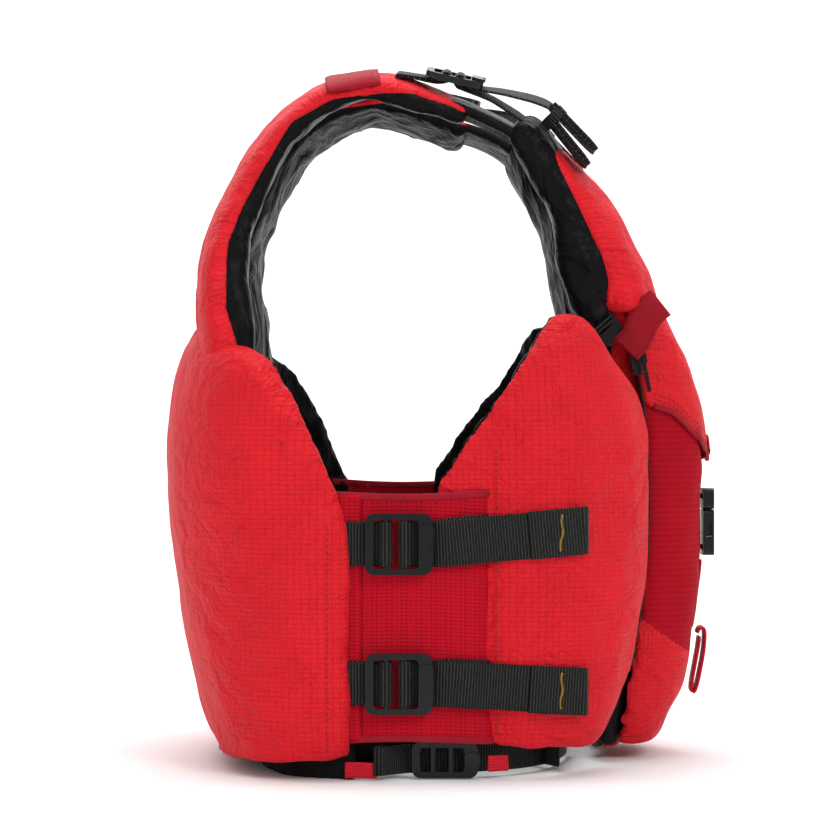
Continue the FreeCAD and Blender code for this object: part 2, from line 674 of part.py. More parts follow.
def buckle_clip(web, length, thick, reach):
    """Clip that pushes into the socket: a block with a webbing slot, two side arms and a guide."""
    half = web / 2 + 4
    block = rounded_plate(-length, -0.5, half, 0, thick, 3)
    block = block.cut(box(4 - length, 8 - length, -web / 2 - 0.5, web / 2 + 0.5, -1, thick + 1))
    low, high = 2.3, thick - 2.3
    for s in (-1, 1):
        outer = s * (half - 3.6)
        inner = s * (half - 6.2)
        block = block.fuse(box(-2, reach, min(inner, outer), max(inner, outer), low, high))
    return block.fuse(box(-2, reach - 3, -1.5, 1.5, low, high)).removeSplitter()


def side_hardware():
    """Four ladder locks on the side straps, the short webbing that holds them, and the long tails."""
    lock = ladder_lock(WEB, LOCK_L, LOCK_T)
    eye = webbing_eye(WEB, WEB_T, BAR_A + BACK_EDGE_Y - 0.7 - LOCK_REAR_Y)
    anchors = []
    for label, z in (("upper", UPPER_Z), ("lower", LOWER_Z)):
        origin = V(LOCK_WEB_X, LOCK_REAR_Y, z)
        solid = placed(lock, origin, V(0, -1, 0), V(-1, 0, 0))
        keep(f"side_lock_{label}_right", solid)
        keep(f"side_lock_{label}_left", *mirrored([solid]))
        anchors.append(placed(eye, origin, V(0, -1, 0), V(-1, 0, 0)))
    keep("side_anchor_webbing", *anchors, *mirrored(anchors))

    def tail(z_rear, z_front):
        """The tail over the wing, its last part folded double."""
        def point(u, v, d):
            y = WING_REAR_Y - 0.5 + u * (TAIL_END_Y - WING_REAR_Y)
            z = z_rear + u * (z_front - z_rear)
            return form_at(-angle_at_y(y, z), z + (v - 0.5) * WEB, TAIL_OFF + max(0.0, wing_out(y)) + d)
        return layer(point, flat(0), lambda u, v: WEB_T * (1 + ramp(u, 0.56, 0.6)), 17, 3)

    tails = [tail(UPPER_Z, UPPER_Z + TAIL_RISE), tail(LOWER_Z, LOWER_Z - TAIL_DROP)]
    keep("side_tails_right", *tails)
    keep("side_tails_left", *mirrored(tails))


def shoulder_hardware():
    """The ladder lock on each shoulder, the webbing that joins the padded straps, and the bundled tail."""
    where = (SHOULDER_LOCK_AT, SHOULDER_LOCK_RUN, SHOULDER_LOCK_UP)
    lock = placed(ladder_lock(SHOULDER_WEB, SHOULDER_LOCK_L, LOCK_T), *where)
    eye = placed(webbing_eye(SHOULDER_WEB, WEB_T, SHOULDER_EYE_TAIL), *where)
    keep("shoulder_lock_right", lock)
    keep("shoulder_lock_left", *mirrored([lock]))

    def strand(*middle):
        stations = [(x, y, z, SHOULDER_WEB, WEB_T, WEB_TILT) for x, y, z in middle]
        return layer(strap_point(stations), flat(0), flat(WEB_T), 3, 7)

    webbing = [eye, strand(*LOWER_WEB), strand(*UPPER_WEB)]
    keep("shoulder_webbing", *webbing, *mirrored(webbing))
    bundle = rounded_plate(0, BUNDLE_L, SHOULDER_WEB / 2, -BUNDLE_T / 2, BUNDLE_T / 2, 3)
    bundle = placed(bundle, BUNDLE_TOP, BUNDLE_RUN, BUNDLE_UP)
    keep("shoulder_tail_right", bundle)
    keep("shoulder_tail_left", *mirrored([bundle]))

    def sleeve_point(u, v, d):
        share = SLEEVE[0] + v * (SLEEVE[1] - SLEEVE[0])
        place, side, normal, width, _ = strap_frame(SHOULDER, share)
        return place + side * ((u - 0.5) * (width + 3)) + normal * (SLEEVE_OFF + d)

    sleeve = layer(sleeve_point, flat(0), flat(SLEEVE_T), 5, 7)
    keep("lash_sleeves", sleeve, *mirrored([sleeve]))


def front_hardware():
    """The buckle and pull tab above the zipper, and the buckle, webbing and tail of the pocket."""
    outward = V(-1, 0, 0)
    forward = V(0, -1, 0)
    down = V(0, 0, -1)
    buckle = ladder_lock(CHEST_WEB, CHEST_BUCKLE_L, CHEST_BUCKLE_T)
    keep("chest_buckle", placed(buckle, CHEST_BUCKLE_AT, CHEST_BUCKLE_RUN, outward))
    length, width, thick = CHEST_TAB_SIZE
    tab = rounded_plate(0, length, width / 2, 0, thick, 2)
    keep("chest_tab", placed(tab, CHEST_TAB_AT, CHEST_TAB_RUN, outward))

    socket = buckle_socket(SMALL_WEB, SOCKET_L, POCKET_BUCKLE_T)
    clip = buckle_clip(SMALL_WEB, CLIP_L, POCKET_BUCKLE_T, CLIP_REACH)
    keep("pocket_socket", placed(socket, POCKET_MOUTH, down, forward))
    keep("pocket_clip", placed(clip, POCKET_MOUTH, down, forward))

    def strand(low, top, extra):
        def point(u, v, d):
            z = low + v * (top - low)
            return V((u - 0.5) * SMALL_WEB, pocket_face(0, z, extra) - d, z)
        return layer(point, flat(0), flat(SMALL_T), 3, 7)

    keep("pocket_webbing", strand(*LOWER_STRAND, 1.2), strand(*UPPER_STRAND, FLAP_OFF + FLAP_T + 0.4))
    tail = rounded_plate(0, POCKET_TAIL_L, SMALL_WEB / 2, -3, 3, 2.9)
    keep("pocket_tail", placed(tail, POCKET_TAIL_TOP, V(0, 0.12, -1), forward))


def waist():
    """The padded waist belt inside the hem, its webbing, lock and front buckle, and red corner tabs."""
    def pad_point(u, v, d):
        z = -3 + v * (BELT_TOP_Z + 3)
        return form_at((2 * u - 1) * angle_at_y(BELT_END_Y, max(z, 0)), z, d)

    def web_point(u, v, d):
        z = WAIST_WEB_LOW + v * WAIST_WEB
        rear, front = angle_at_y(56, z), angle_at_x(30, z)
        return form_at(-(rear + u * (front - rear)), z, d)

    pad = layer(pad_point, flat(BELT_IN[0]), flat(BELT_IN[1]), 15, 5)
    keep("waist_belt", *pad.cut(box(-250, 250, -250, 250, -20, 0)).Solids)
    webbing = layer(web_point, flat(WAIST_WEB_IN[0]), flat(WAIST_WEB_IN[1]), 15, 3)
    keep("waist_webbing", webbing, *mirrored([webbing]))
    lock = ladder_lock(WAIST_WEB - 5, LOCK_L, WAIST_LOCK_T)
    keep("waist_lock", placed(lock, WAIST_LOCK_AT, V(0, -1, 0), V(-1, 0, 0)))
    tabs = [band(*REAR_TAB, *CORNER_TAB, 3), band(*FRONT_TAB, *CORNER_TAB, 3)]
    keep("corner_tabs", *tabs, *mirrored(tabs))
    socket = buckle_socket(SMALL_WEB, SOCKET_L, WAIST_BUCKLE_T)
    clip = buckle_clip(SMALL_WEB, CLIP_L, WAIST_BUCKLE_T, CLIP_REACH)
    keep("waist_socket", placed(socket, WAIST_MOUTH, V(1, 0, 0), V(0, 1, 0)))
    keep("waist_clip", placed(clip, WAIST_MOUTH, V(1, 0, 0), V(0, 1, 0)))


def export():
    """Writes one STEP per node."""
    os.makedirs("parts", exist_ok=True)
    for old in os.listdir("parts"):
        os.remove(os.path.join("parts", old))
    for name, solids in NODES.items():
        for s in solids:
            if not s.isValid() or s.Volume <= 0:
                print("BAD", name, s.isValid(), s.Volume)
        shape = solids[0] if len(solids) == 1 else Part.makeCompound(solids)
        shape.exportStep(f"parts/{name}.step")
    print(len(NODES), "nodes")


back_panel()
yoke()
straps()
chest_panel()
wing()
side_mesh()
zipper()
slider_and_pull()
pocket()
side_hardware()
shoulder_hardware()
front_hardware()
waist()
export()
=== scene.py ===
import json
from math import atan2, cos, hypot, pi, radians, sin

import bmesh
import bpy
import numpy as np
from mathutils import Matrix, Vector, noise
from mathutils.bvhtree import BVHTree

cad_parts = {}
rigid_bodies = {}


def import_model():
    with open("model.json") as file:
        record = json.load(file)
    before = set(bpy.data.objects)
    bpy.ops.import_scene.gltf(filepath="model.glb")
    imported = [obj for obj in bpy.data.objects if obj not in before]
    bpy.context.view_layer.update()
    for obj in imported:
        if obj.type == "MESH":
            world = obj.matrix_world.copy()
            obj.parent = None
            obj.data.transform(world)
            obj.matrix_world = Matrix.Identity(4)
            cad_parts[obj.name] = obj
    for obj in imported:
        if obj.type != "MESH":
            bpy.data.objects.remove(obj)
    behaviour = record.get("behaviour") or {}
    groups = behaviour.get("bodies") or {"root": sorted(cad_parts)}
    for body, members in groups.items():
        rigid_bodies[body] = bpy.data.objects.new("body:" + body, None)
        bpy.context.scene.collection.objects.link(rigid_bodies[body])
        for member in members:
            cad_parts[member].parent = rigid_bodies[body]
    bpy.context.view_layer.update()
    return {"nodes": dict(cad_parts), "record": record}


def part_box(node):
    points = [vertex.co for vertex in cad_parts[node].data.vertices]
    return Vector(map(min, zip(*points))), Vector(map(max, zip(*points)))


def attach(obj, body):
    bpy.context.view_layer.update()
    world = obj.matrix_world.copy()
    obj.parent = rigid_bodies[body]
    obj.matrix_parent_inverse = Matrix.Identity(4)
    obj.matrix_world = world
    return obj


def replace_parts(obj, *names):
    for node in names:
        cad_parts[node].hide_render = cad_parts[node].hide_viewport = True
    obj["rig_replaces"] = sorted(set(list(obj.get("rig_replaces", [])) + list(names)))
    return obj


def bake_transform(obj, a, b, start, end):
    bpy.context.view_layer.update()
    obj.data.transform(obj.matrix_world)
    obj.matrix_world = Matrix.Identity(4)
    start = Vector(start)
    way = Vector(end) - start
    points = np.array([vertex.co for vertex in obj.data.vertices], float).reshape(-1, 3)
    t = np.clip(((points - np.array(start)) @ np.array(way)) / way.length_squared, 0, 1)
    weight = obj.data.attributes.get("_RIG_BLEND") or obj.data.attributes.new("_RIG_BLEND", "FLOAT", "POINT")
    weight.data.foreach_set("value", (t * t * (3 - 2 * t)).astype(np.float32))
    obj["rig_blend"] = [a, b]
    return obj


# A whitewater life jacket. Metres; the wearer faces -Y and the wearer's right is -X.

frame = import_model()
NODE = frame["nodes"]
SCENE = bpy.context.scene

MM = 0.001
FORM_CENTRE = Vector((0, 0.02, 0))     # upright axis of the torso form
FORM_R = 0.175                         # its mean radius, for the run of the cloth
STRAP_CENTRE = (0.03, 0.37)            # y, z that the shoulder straps arch round
STRAP_R = 0.13
SIDES = ("right", "left")
WELD = 0.02 * MM                       # vertices closer than this are one
CLOTH_FRAMES = 20
PUFF = 4.0                             # pressure inside the pads


# ---- node materials ----

class Shader:
    """A short way to write a Principled material from nodes."""

    def __init__(self, name, color, roughness, specular=0.5):
        self.mat = bpy.data.materials.new(name)
        self.mat.use_nodes = True
        self.mat.diffuse_color = (*color, 1)
        self.tree = self.mat.node_tree
        self.bsdf = self.tree.nodes["Principled BSDF"]
        self.set("Base Color", (*color, 1))
        self.set("Roughness", roughness)
        self.set("Specular IOR Level", specular)

    def set(self, socket, value):
        if hasattr(value, "links"):
            self.tree.links.new(value, self.bsdf.inputs[socket])
        else:
            self.bsdf.inputs[socket].default_value = value

    def node(self, kind, inputs=(), **settings):
        n = self.tree.nodes.new(kind)
        for key, value in settings.items():
            setattr(n, key, value)
        for key, value in dict(inputs).items():
            if hasattr(value, "links"):
                self.tree.links.new(value, n.inputs[key])
            else:
                n.inputs[key].default_value = value
        return n

    def math(self, operation, a, b=0.0, clamp=False):
        return self.node("ShaderNodeMath", {0: a, 1: b}, operation=operation, use_clamp=clamp).outputs[0]

    def add(self, a, b):
        return self.math("ADD", a, b)

    def sub(self, a, b, clamp=False):
        return self.math("SUBTRACT", a, b, clamp)

    def mul(self, a, b, clamp=False):
        return self.math("MULTIPLY", a, b, clamp)

    def div(self, a, b):
        return self.math("DIVIDE", a, b)

    def uv(self):
        """Run of the cloth in metres, as separate u and v."""
        split = self.node("ShaderNodeSeparateXYZ", {0: self.node("ShaderNodeUVMap", uv_map="run").outputs[0]})
        return split.outputs[0], split.outputs[1]

    def noise(self, scale, detail=2.0, roughness=0.5, stretch=(1, 1, 1), distortion=0.0):
        where = self.node("ShaderNodeTexCoord").outputs["Object"]
        where = self.node("ShaderNodeMapping", {"Vector": where, "Scale": stretch}).outputs[0]
        texture = self.node("ShaderNodeTexNoise", {"Vector": where, "Scale": scale, "Detail": detail,
                                                   "Roughness": roughness, "Distortion": distortion})
        return texture.outputs[0]

    def mix(self, factor, a, b):
        n = self.node("ShaderNodeMix", data_type="RGBA")
        for index, value in ((0, factor), (6, a), (7, b)):
            if hasattr(value, "links"):
                self.tree.links.new(value, n.inputs[index])
            else:
                n.inputs[index].default_value = value if index == 0 else (*value, 1)
        return n.outputs[2]

    def bump(self, height, distance, strength=1.0, under=None):
        inputs = {"Height": height, "Distance": distance, "Strength": strength}
        if under is not None:
            inputs["Normal"] = under
        return self.node("ShaderNodeBump", inputs).outputs[0]

    def line(self, run, pitch, width):
        """1 on thin lines a pitch apart along run, 0 between."""
        cell = self.math("FRACT", self.div(run, pitch))
        off = self.math("ABSOLUTE", self.sub(cell, 0.5))
        edge = self.sub(off, 0.5 - width / pitch / 2)
        return self.mul(edge, 4 * pitch / width, clamp=True)

    def wave(self, run, pitch, shift=0.0):
        """A smooth wave from 0 to 1 along run."""
        turn = self.add(self.mul(run, 2 * pi / pitch), shift)
        return self.mul(self.add(self.math("SINE", turn), 1.0), 0.5)


def tint(color, share):
    """A darker or lighter colour."""
    return [min(1, c * share) for c in color]


def ripstop(name, color, dark):
    """Ripstop nylon: fine weave, a raised thread grid, soft puckers and a faint sheen."""
    s = Shader(name, color, 0.6, 0.12)
    u, v = s.uv()
    cell_u, cell_v, thread = 0.0042, 0.0034, 0.0007
    grid = s.math("MAXIMUM", s.line(u, cell_u, thread), s.line(v, cell_v, thread))
    broken = s.mul(grid, s.noise(900, 1))
    patches = s.noise(14, 3, 0.6)
    tone = s.mix(patches, dark, color)
    s.set("Base Color", s.mix(s.mul(broken, 0.6), tone, tint(dark, 0.75)))
    weave = s.mul(s.wave(u, 0.0011), s.wave(v, 0.0011))
    puckers = s.bump(s.noise(30, 4, 0.6, (1, 1, 1.4), 0.6), 0.013, 0.8)
    crinkle = s.bump(s.noise(150, 3, 0.6, (1, 1, 0.7)), 0.0018, 0.6, puckers)
    fine = s.bump(s.add(s.mul(grid, 0.7), s.mul(weave, 0.3)), 0.0005, 0.8, crinkle)
    s.set("Normal", fine)
    s.set("Roughness", s.add(0.48, s.mul(patches, 0.16)))
    s.set("Sheen Weight", 0.05)
    s.set("Sheen Roughness", 0.4)
    s.set("Sheen Tint", (1, 0.3, 0.28, 1))
    return s.mat


def perforated(name, color, hole):
    """Knitted spacer mesh with rows of small oval holes in pairs of columns."""
    s = Shader(name, color, 0.7, 0.08)
    u, v = s.uv()
    pitch_u, pitch_v = 0.0034, 0.0026
    hole_u, hole_v = 0.0009, 0.00042        # half width and half height of a hole
    column = s.div(u, pitch_u)
    du = s.sub(s.math("FRACT", column), 0.5)
    dv = s.sub(s.math("FRACT", s.div(v, pitch_v)), 0.5)
    du = s.mul(du, pitch_u / hole_u)
    dv = s.mul(dv, pitch_v / hole_v)
    r = s.add(s.mul(du, du), s.mul(dv, dv))
    holes = s.sub(1.35, r, clamp=True)
    third = s.math("FRACT", s.div(s.math("FLOOR", column), 3.0))
    holes = s.mul(holes, s.add(0.45, s.mul(s.math("LESS_THAN", third, 0.6), 0.4)))
    tone = s.mix(s.noise(20, 3, 0.6), tint(color, 0.78), color)
    s.set("Base Color", s.mix(s.mul(holes, 0.75), tone, hole))
    folds = s.bump(s.noise(30, 3, 0.6, (1, 1, 0.6)), 0.004, 0.4)
    rib = s.mul(s.wave(v, pitch_v), s.wave(u, pitch_u / 2))
    rib = s.bump(rib, 0.0002, 0.8, folds)
    s.set("Normal", s.bump(s.sub(1.0, holes), 0.0005, 0.8, rib))
    s.set("Sheen Weight", 0.06)
    s.set("Sheen Tint", (1, 0.2, 0.2, 1))
    return s.mat


def gusset(name, color, hole):
    """Dark mesh with fine lines of dots."""
    s = Shader(name, color, 0.75, 0.08)
    u, v = s.uv()
    rows = s.line(v, 0.0042, 0.0012)
    dots = s.mul(s.mul(rows, s.wave(u, 0.0022)), 0.6)
    tone = s.mix(s.noise(18, 3, 0.6), tint(color, 0.7), color)
    s.set("Base Color", s.mix(dots, tone, hole))
    s.set("Normal", s.bump(s.mul(s.wave(v, 0.0014), s.wave(u, 0.0014)), 0.0003, 0.7,
                           s.bump(s.noise(34, 4, 0.6), 0.004, 0.5)))
    return s.mat


def woven(name, color, glint_color, pitch=0.0021, painted_glint_share=0.55):
    """Heavy webbing: ribs across the strap, each a row of small beads, with painted glints of light on their tops.
    """
    s = Shader(name, color, 0.55, 0.14)
    u, v = s.uv()
    row = s.math("FLOOR", s.div(v, pitch))
    ribs = s.wave(v, pitch, -pi / 2)
    shifted = s.add(u, s.mul(row, 0.0006))
    beads = s.wave(shifted, 0.0013)
    height = s.mul(ribs, s.add(0.55, s.mul(beads, 0.45)))
    # painted glint: the colour turns lighter on the tops of the ribs and beads, a painted highlight, not a fleck in
    # the yarn
    glint = s.mul(s.math("POWER", ribs, 4.0), s.math("POWER", beads, 3.0))
    glint = s.mul(glint, s.add(0.25, s.noise(260, 2)))
    tone = s.mix(s.noise(120, 2), tint(color, 0.7), color)
    s.set("Base Color", s.mix(s.mul(glint, painted_glint_share), tone, glint_color))
    s.set("Normal", s.bump(height, 0.00045, 0.9, s.bump(s.noise(60, 3), 0.001, 0.4)))
    s.set("Sheen Weight", 0.03)
    return s.mat


def satin(name, color, roughness):
    """Slippery coated lining with creases."""
    s = Shader(name, color, roughness, 0.2)
    s.set("IOR", 1.25)
    folds = s.bump(s.noise(24, 4, 0.55, (1, 1, 0.55), 1.0), 0.012, 0.8)
    creases = s.bump(s.noise(80, 3, 0.5, (1, 1, 0.5), 0.8), 0.0016, 0.5, folds)
    s.set("Normal", s.bump(s.noise(1500, 1), 0.0001, 0.35, creases))
    s.set("Base Color", s.mix(s.noise(30, 3), tint(color, 0.6), tint(color, 1.5)))
    s.set("Roughness", s.add(roughness - 0.07, s.mul(s.noise(40, 3), 0.16)))
    return s.mat


def moulded(name, color):
    """Acetal buckle plastic: fine grain, slightly polished where it rubs."""
    s = Shader(name, color, 0.25, 0.3)
    s.set("Roughness", s.add(0.22, s.mul(s.noise(220, 4, 0.65), 0.06)))
    s.set("Normal", s.bump(s.noise(2600, 2), 0.00006, 0.5))
    s.set("Base Color", s.mix(s.noise(90, 4), tint(color, 0.45), tint(color, 0.8)))
    return s.mat


def diamond_mesh(name, color):
    """Padded spacer mesh of the waist belt."""
    s = Shader(name, color, 0.8, 0.15)
    u, v = s.uv()
    a = s.wave(s.add(u, v), 0.0022)
    b = s.wave(s.sub(u, v), 0.0022)
    cell = s.mul(a, b)
    s.set("Base Color", s.mix(cell, tint(color, 0.35), tint(color, 1.8)))
    s.set("Normal", s.bump(cell, 0.0008, 0.9, s.bump(s.noise(40, 3), 0.003, 0.4)))
    return s.mat


def twill(name, color):
    """Tight twill tape."""
    s = Shader(name, color, 0.6, 0.15)
    u, v = s.uv()
    ribs = s.wave(s.add(u, v), 0.0009)
    s.set("Base Color", s.mix(s.noise(60, 4, 0.7), tint(color, 0.75), tint(color, 1.2)))
    s.set("Normal", s.bump(ribs, 0.00022, 0.8, s.bump(s.noise(45, 3), 0.002, 0.4)))
    return s.mat


def plain_thread(name, color):
    """Twisted polyester thread."""
    s = Shader(name, color, 0.5, 0.4)
    s.set("Base Color", s.mix(s.noise(1200, 2), tint(color, 0.6), color))
    s.set("Normal", s.bump(s.noise(2500, 1), 0.0001, 0.6))
    return s.mat


def glass_bead(name, color):
    """Grey reflective tape."""
    s = Shader(name, color, 0.42, 0.6)
    s.set("Metallic", 0.35)
    s.set("Base Color", s.mix(s.noise(2200, 2), tint(color, 0.8), tint(color, 1.15)))
    s.set("Normal", s.bump(s.noise(1800, 1), 0.00008, 0.5))
    return s.mat


RED = (0.76, 0.0135, 0.023)
DARK_RED = (0.56, 0.007, 0.015)
MAT = {
    "ripstop": ripstop("ripstop", RED, DARK_RED),
    "mesh_fabric": perforated("mesh_fabric", (0.5, 0.003, 0.015), (0.03, 0.001, 0.004)),
    "gusset": gusset("gusset", (0.46, 0.003, 0.014), (0.02, 0.001, 0.002)),
    "lining": satin("lining", (0.0045, 0.0045, 0.005), 0.36),
    # each webbing's third colour and its share are the colour and strength of its painted glints
    "black_webbing": woven("black_webbing", (0.004, 0.0042, 0.004), (0.2, 0.205, 0.18), painted_glint_share=0.75),
    "red_webbing": woven("red_webbing", (0.62, 0.006, 0.02), (0.8, 0.1, 0.12), 0.0019, 0.35),
    "red_twill": twill("red_twill", (0.33, 0.007, 0.018)),
    "belt_mesh": diamond_mesh("belt_mesh", (0.008, 0.008, 0.009)),
    "zipper_tape": twill("zipper_tape", (0.008, 0.008, 0.009)),
    "black_plastic": moulded("black_plastic", (0.004, 0.0043, 0.005)),
    "reflective": glass_bead("reflective", (0.36, 0.37, 0.38)),
    "thread": plain_thread("thread", (0.55, 0.32, 0.02)),
    "red_thread": plain_thread("red_thread", (0.3, 0.004, 0.012)),
}


# ---- mesh helpers ----

def ramp(t, start, end):
    """0 before start, 1 after end, smooth between; works on arrays."""
    s = np.clip((np.asarray(t, float) - start) / (end - start), 0, 1)
    return s * s * (3 - 2 * s)


def slot_of(material):
    """The slot that a material was made for."""
    return next(slot for slot, mat in MAT.items() if mat == material)


def new_object(name, mesh, *slots):
    """An object with the named materials."""
    obj = bpy.data.objects.new(name, mesh)
    SCENE.collection.objects.link(obj)
    mesh.materials.clear()
    for slot in slots:
        mesh.materials.append(MAT[slot])
    return obj


def mesh_from(name, verts, faces):
    """A smooth mesh from plain lists."""
    mesh = bpy.data.meshes.new(name)
    mesh.from_pydata([tuple(v) for v in verts], [], faces)
    shade_smooth(mesh)
    mesh.update()
    return mesh


def points_of(mesh):
    """Vertex places as an array."""
    co = np.empty(len(mesh.vertices) * 3)
    mesh.vertices.foreach_get("co", co)
    return co.reshape(-1, 3)


def set_points(mesh, co):
    """Writes vertex places back."""
    mesh.vertices.foreach_set("co", np.asarray(co, float).ravel())
    mesh.update()


def normals_of(mesh):
    """Vertex normals as an array."""
    n = np.empty(len(mesh.vertices) * 3)
    mesh.vertex_normals.foreach_get("vector", n)
    return n.reshape(-1, 3)


def final_mesh(obj):
    """A copy of the object's mesh with its modifiers applied."""
    bpy.context.view_layer.update()
    shown = obj.evaluated_get(bpy.context.evaluated_depsgraph_get())
    return bpy.data.meshes.new_from_object(shown)


def apply_modifiers(obj):
    """Applies every modifier."""
    mesh = final_mesh(obj)
    obj.modifiers.clear()
    obj.data = mesh


def surface(*objects):
    """A search tree over finished pieces."""
    bm = bmesh.new()
    for obj in objects:
        bm.from_mesh(obj.data)
    tree = BVHTree.FromBMesh(bm)
    bm.free()
    return tree


def tree_of(*names):
    """A search tree over CAD nodes."""
    return surface(*(NODE[name] for name in names))


def cast(tree, start, towards):
    """Where a ray first meets a surface, or None."""
    return tree.ray_cast(Vector(start), Vector(towards))[0]


def rounded(obj, width, segments, degrees):
    """Rounds the edges that are sharper than an angle."""
    rounding = obj.modifiers.new("bevel", "BEVEL")
    rounding.width = width
    rounding.segments = segments
    rounding.limit_method = "ANGLE"
    rounding.angle_limit = radians(degrees)


def shade_smooth(mesh):
    mesh.polygons.foreach_set("use_smooth", [True] * len(mesh.polygons))


def welded(*nodes):
    """The meshes of CAD nodes, with doubled vertices merged."""
    bm = bmesh.new()
    for node in nodes:
        bm.from_mesh(NODE[node].data)
    bmesh.ops.remove_doubles(bm, verts=bm.verts, dist=WELD)
    return bm


def written(name, bm):
    """The bmesh as a mesh."""
    mesh = bpy.data.meshes.new(name)
    bm.to_mesh(mesh)
    bm.free()
    return mesh


def place(obj, body, slot, *nodes):
    """Says which body the piece rides on and the CAD nodes it stands for; its finish, slot, is not used."""
    if nodes:
        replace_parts(obj, *nodes)
    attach(obj, body)
    return obj


def distances(tree, co):
    """Distance from every point to the tree."""
    return np.array([tree.find_nearest(Vector(p))[3] for p in co])


def ripple(co, size, seed):
    """A smooth random value from -1 to 1 at every point."""
    shift = Vector((seed * 7.3, seed * 3.1, seed * 1.7))
    return np.array([noise.noise(Vector(p) / size + shift) for p in co]) * 1.6


def wobble(x, y, z):
    """A smooth random value from -1 to 1 at a place."""
    return noise.noise(Vector((x, y, z)))


def lay_uv(mesh, run):
    """Stores the run of the cloth, in metres, as the UV map that the weaves read."""
    places = [run(v.co) for v in mesh.vertices] if callable(run) else run
    layer = mesh.uv_layers.get("run") or mesh.uv_layers.new(name="run")
    for loop in mesh.loops:
        layer.data[loop.index].uv = places[loop.vertex_index]


def torso_run(p):
    """Run of cloth that wraps the torso."""
    return atan2(p.x, -(p.y - FORM_CENTRE.y)) * FORM_R, p.z


def strap_run(p):
    """Run of cloth along a shoulder strap."""
    return p.x, atan2(p.z - STRAP_CENTRE[1], p.y - STRAP_CENTRE[0]) * STRAP_R


def chest_run(p):
    """Run of cloth across the chest panel and round its sides."""
    return abs(p.x) + p.y, p.z


# ---- padded pieces ----

PADS = []


def start_pad(name, core, face, body, run, seam=4 * MM, voxel=4.5 * MM, cap=4 * MM, reach=(), bag=0.0, swell=0.0,
              slots=("ripstop", "lining"), fill=0.7, from_liner=False):
    """Copies a panel's CAD solids, remeshes them and notes how far each point is past the seam.

    The seam lies at a depth below the red face, or, from the liner, at a height above the black one, or along a line
    drawn on the side of a strap.
    """
    pad = new_object(name, written(name, welded(*core)), *slots)
    remesh = pad.modifiers.new("remesh", "REMESH")
    remesh.mode = "VOXEL"
    remesh.voxel_size = voxel
    apply_modifiers(pad)
    co = points_of(pad.data)
    if isinstance(seam, tuple):
        past = inside_line(co, *seam)
    else:
        past = distances(tree_of(face), co) - seam
        if from_liner:
            past = -past
    edge = pad.data.attributes.new("edge", "FLOAT", "POINT")
    edge.data.foreach_set("value", past)
    held = pad.vertex_groups.new(name="held")
    for i, d in enumerate(past):
        if abs(d) < 0.5 * voxel:
            held.add([i], 1.0, "REPLACE")
    cloth = pad.modifiers.new("cloth", "CLOTH")
    cloth.settings.use_pressure = True
    cloth.settings.uniform_pressure_force = PUFF
    cloth.settings.effector_weights.gravity = 0
    cloth.settings.vertex_group_mass = "held"
    cloth.settings.tension_stiffness = 12
    cloth.settings.compression_stiffness = 12
    cloth.settings.shear_stiffness = 8
    cloth.settings.bending_stiffness = 1.5
    PADS.append({"pad": pad, "before": co, "cap": cap, "run": run, "hides": core, "body": body, "reach": reach,
                 "bag": bag, "swell": swell, "seamed": len(slots) > 1, "fill": fill})


def inside_line(co, line, slope, arm_x):
    """How far each point is inside a line given by y and z; the seam climbs by slope from the arm to the neck."""
    yz = co[:, 1:]
    nearest = np.full(len(co), np.inf)
    inside = np.zeros(len(co))
    corners = np.array(line) * MM
    for a, b in zip(corners, corners[1:]):
        run = b - a
        share = np.clip((yz - a) @ run / (run @ run), 0, 1)
        off = yz - (a + share[:, None] * run)
        distance = np.linalg.norm(off, axis=1)
        side = np.sign(run[0] * off[:, 1] - run[1] * off[:, 0])
        closer = distance < nearest
        nearest[closer] = distance[closer]
        inside[closer] = (distance * side)[closer]
    return inside + slope * (arm_x - np.abs(co[:, 0]))


def split_at_seam(mesh, groove=0.9 * MM):
    """Cuts the mesh along the seam, gives the far side the second material, and sinks the seam a little."""
    bm = bmesh.new()
    bm.from_mesh(mesh)
    edge = bm.verts.layers.float["edge"]
    crossing = [e for e in bm.edges if e.verts[0][edge] * e.verts[1][edge] < 0]
    made = []
    for e in crossing:
        a, b = e.verts
        share = a[edge] / (a[edge] - b[edge])
        _, v = bmesh.utils.edge_split(e, a, min(0.95, max(0.05, share)))
        v[edge] = 0.0
        made.append(v)
    bmesh.ops.connect_verts(bm, verts=made)
    bm.normal_update()
    for f in bm.faces:
        f.material_index = 1 if sum(v[edge] for v in f.verts) > 0 else 0
        f.smooth = True
    for v in made:
        v.co -= v.normal * groove
    bm.to_mesh(mesh)
    bm.free()


def finish_pads():
    """Runs all the pads' cloth together, then finishes each one."""
    for step in range(1, CLOTH_FRAMES + 1):
        SCENE.frame_set(step)
    meshes = [final_mesh(row["pad"]) for row in PADS]
    SCENE.frame_set(1)
    done = {}
    for row, mesh in zip(PADS, meshes):
        pad, before, cap = row["pad"], row["before"], row["cap"]
        move = points_of(mesh) - before
        size = np.linalg.norm(move, axis=1, keepdims=True)
        allowed = cap * np.tanh(size / cap)
        co = before + move * np.divide(allowed, size, out=np.zeros_like(size), where=size > 0)
        set_points(mesh, stretched(co, row["reach"]))
        pad.modifiers.clear()
        pad.vertex_groups.clear()
        pad.data = mesh
        smooth = pad.modifiers.new("smooth", "SMOOTH")
        smooth.factor = 0.5
        smooth.iterations = 2
        subdivision = pad.modifiers.new("subdivision", "SUBSURF")
        subdivision.levels = 1
        apply_modifiers(pad)
        wrinkle(pad.data, row["bag"], row["swell"])
        if row["seamed"]:
            split_at_seam(pad.data)
        lay_uv(pad.data, row["run"])
        shade_smooth(pad.data)
        place(pad, row["body"], slot_of(pad.data.materials[0]), *row["hides"])
        done[pad.name] = pad
    return done


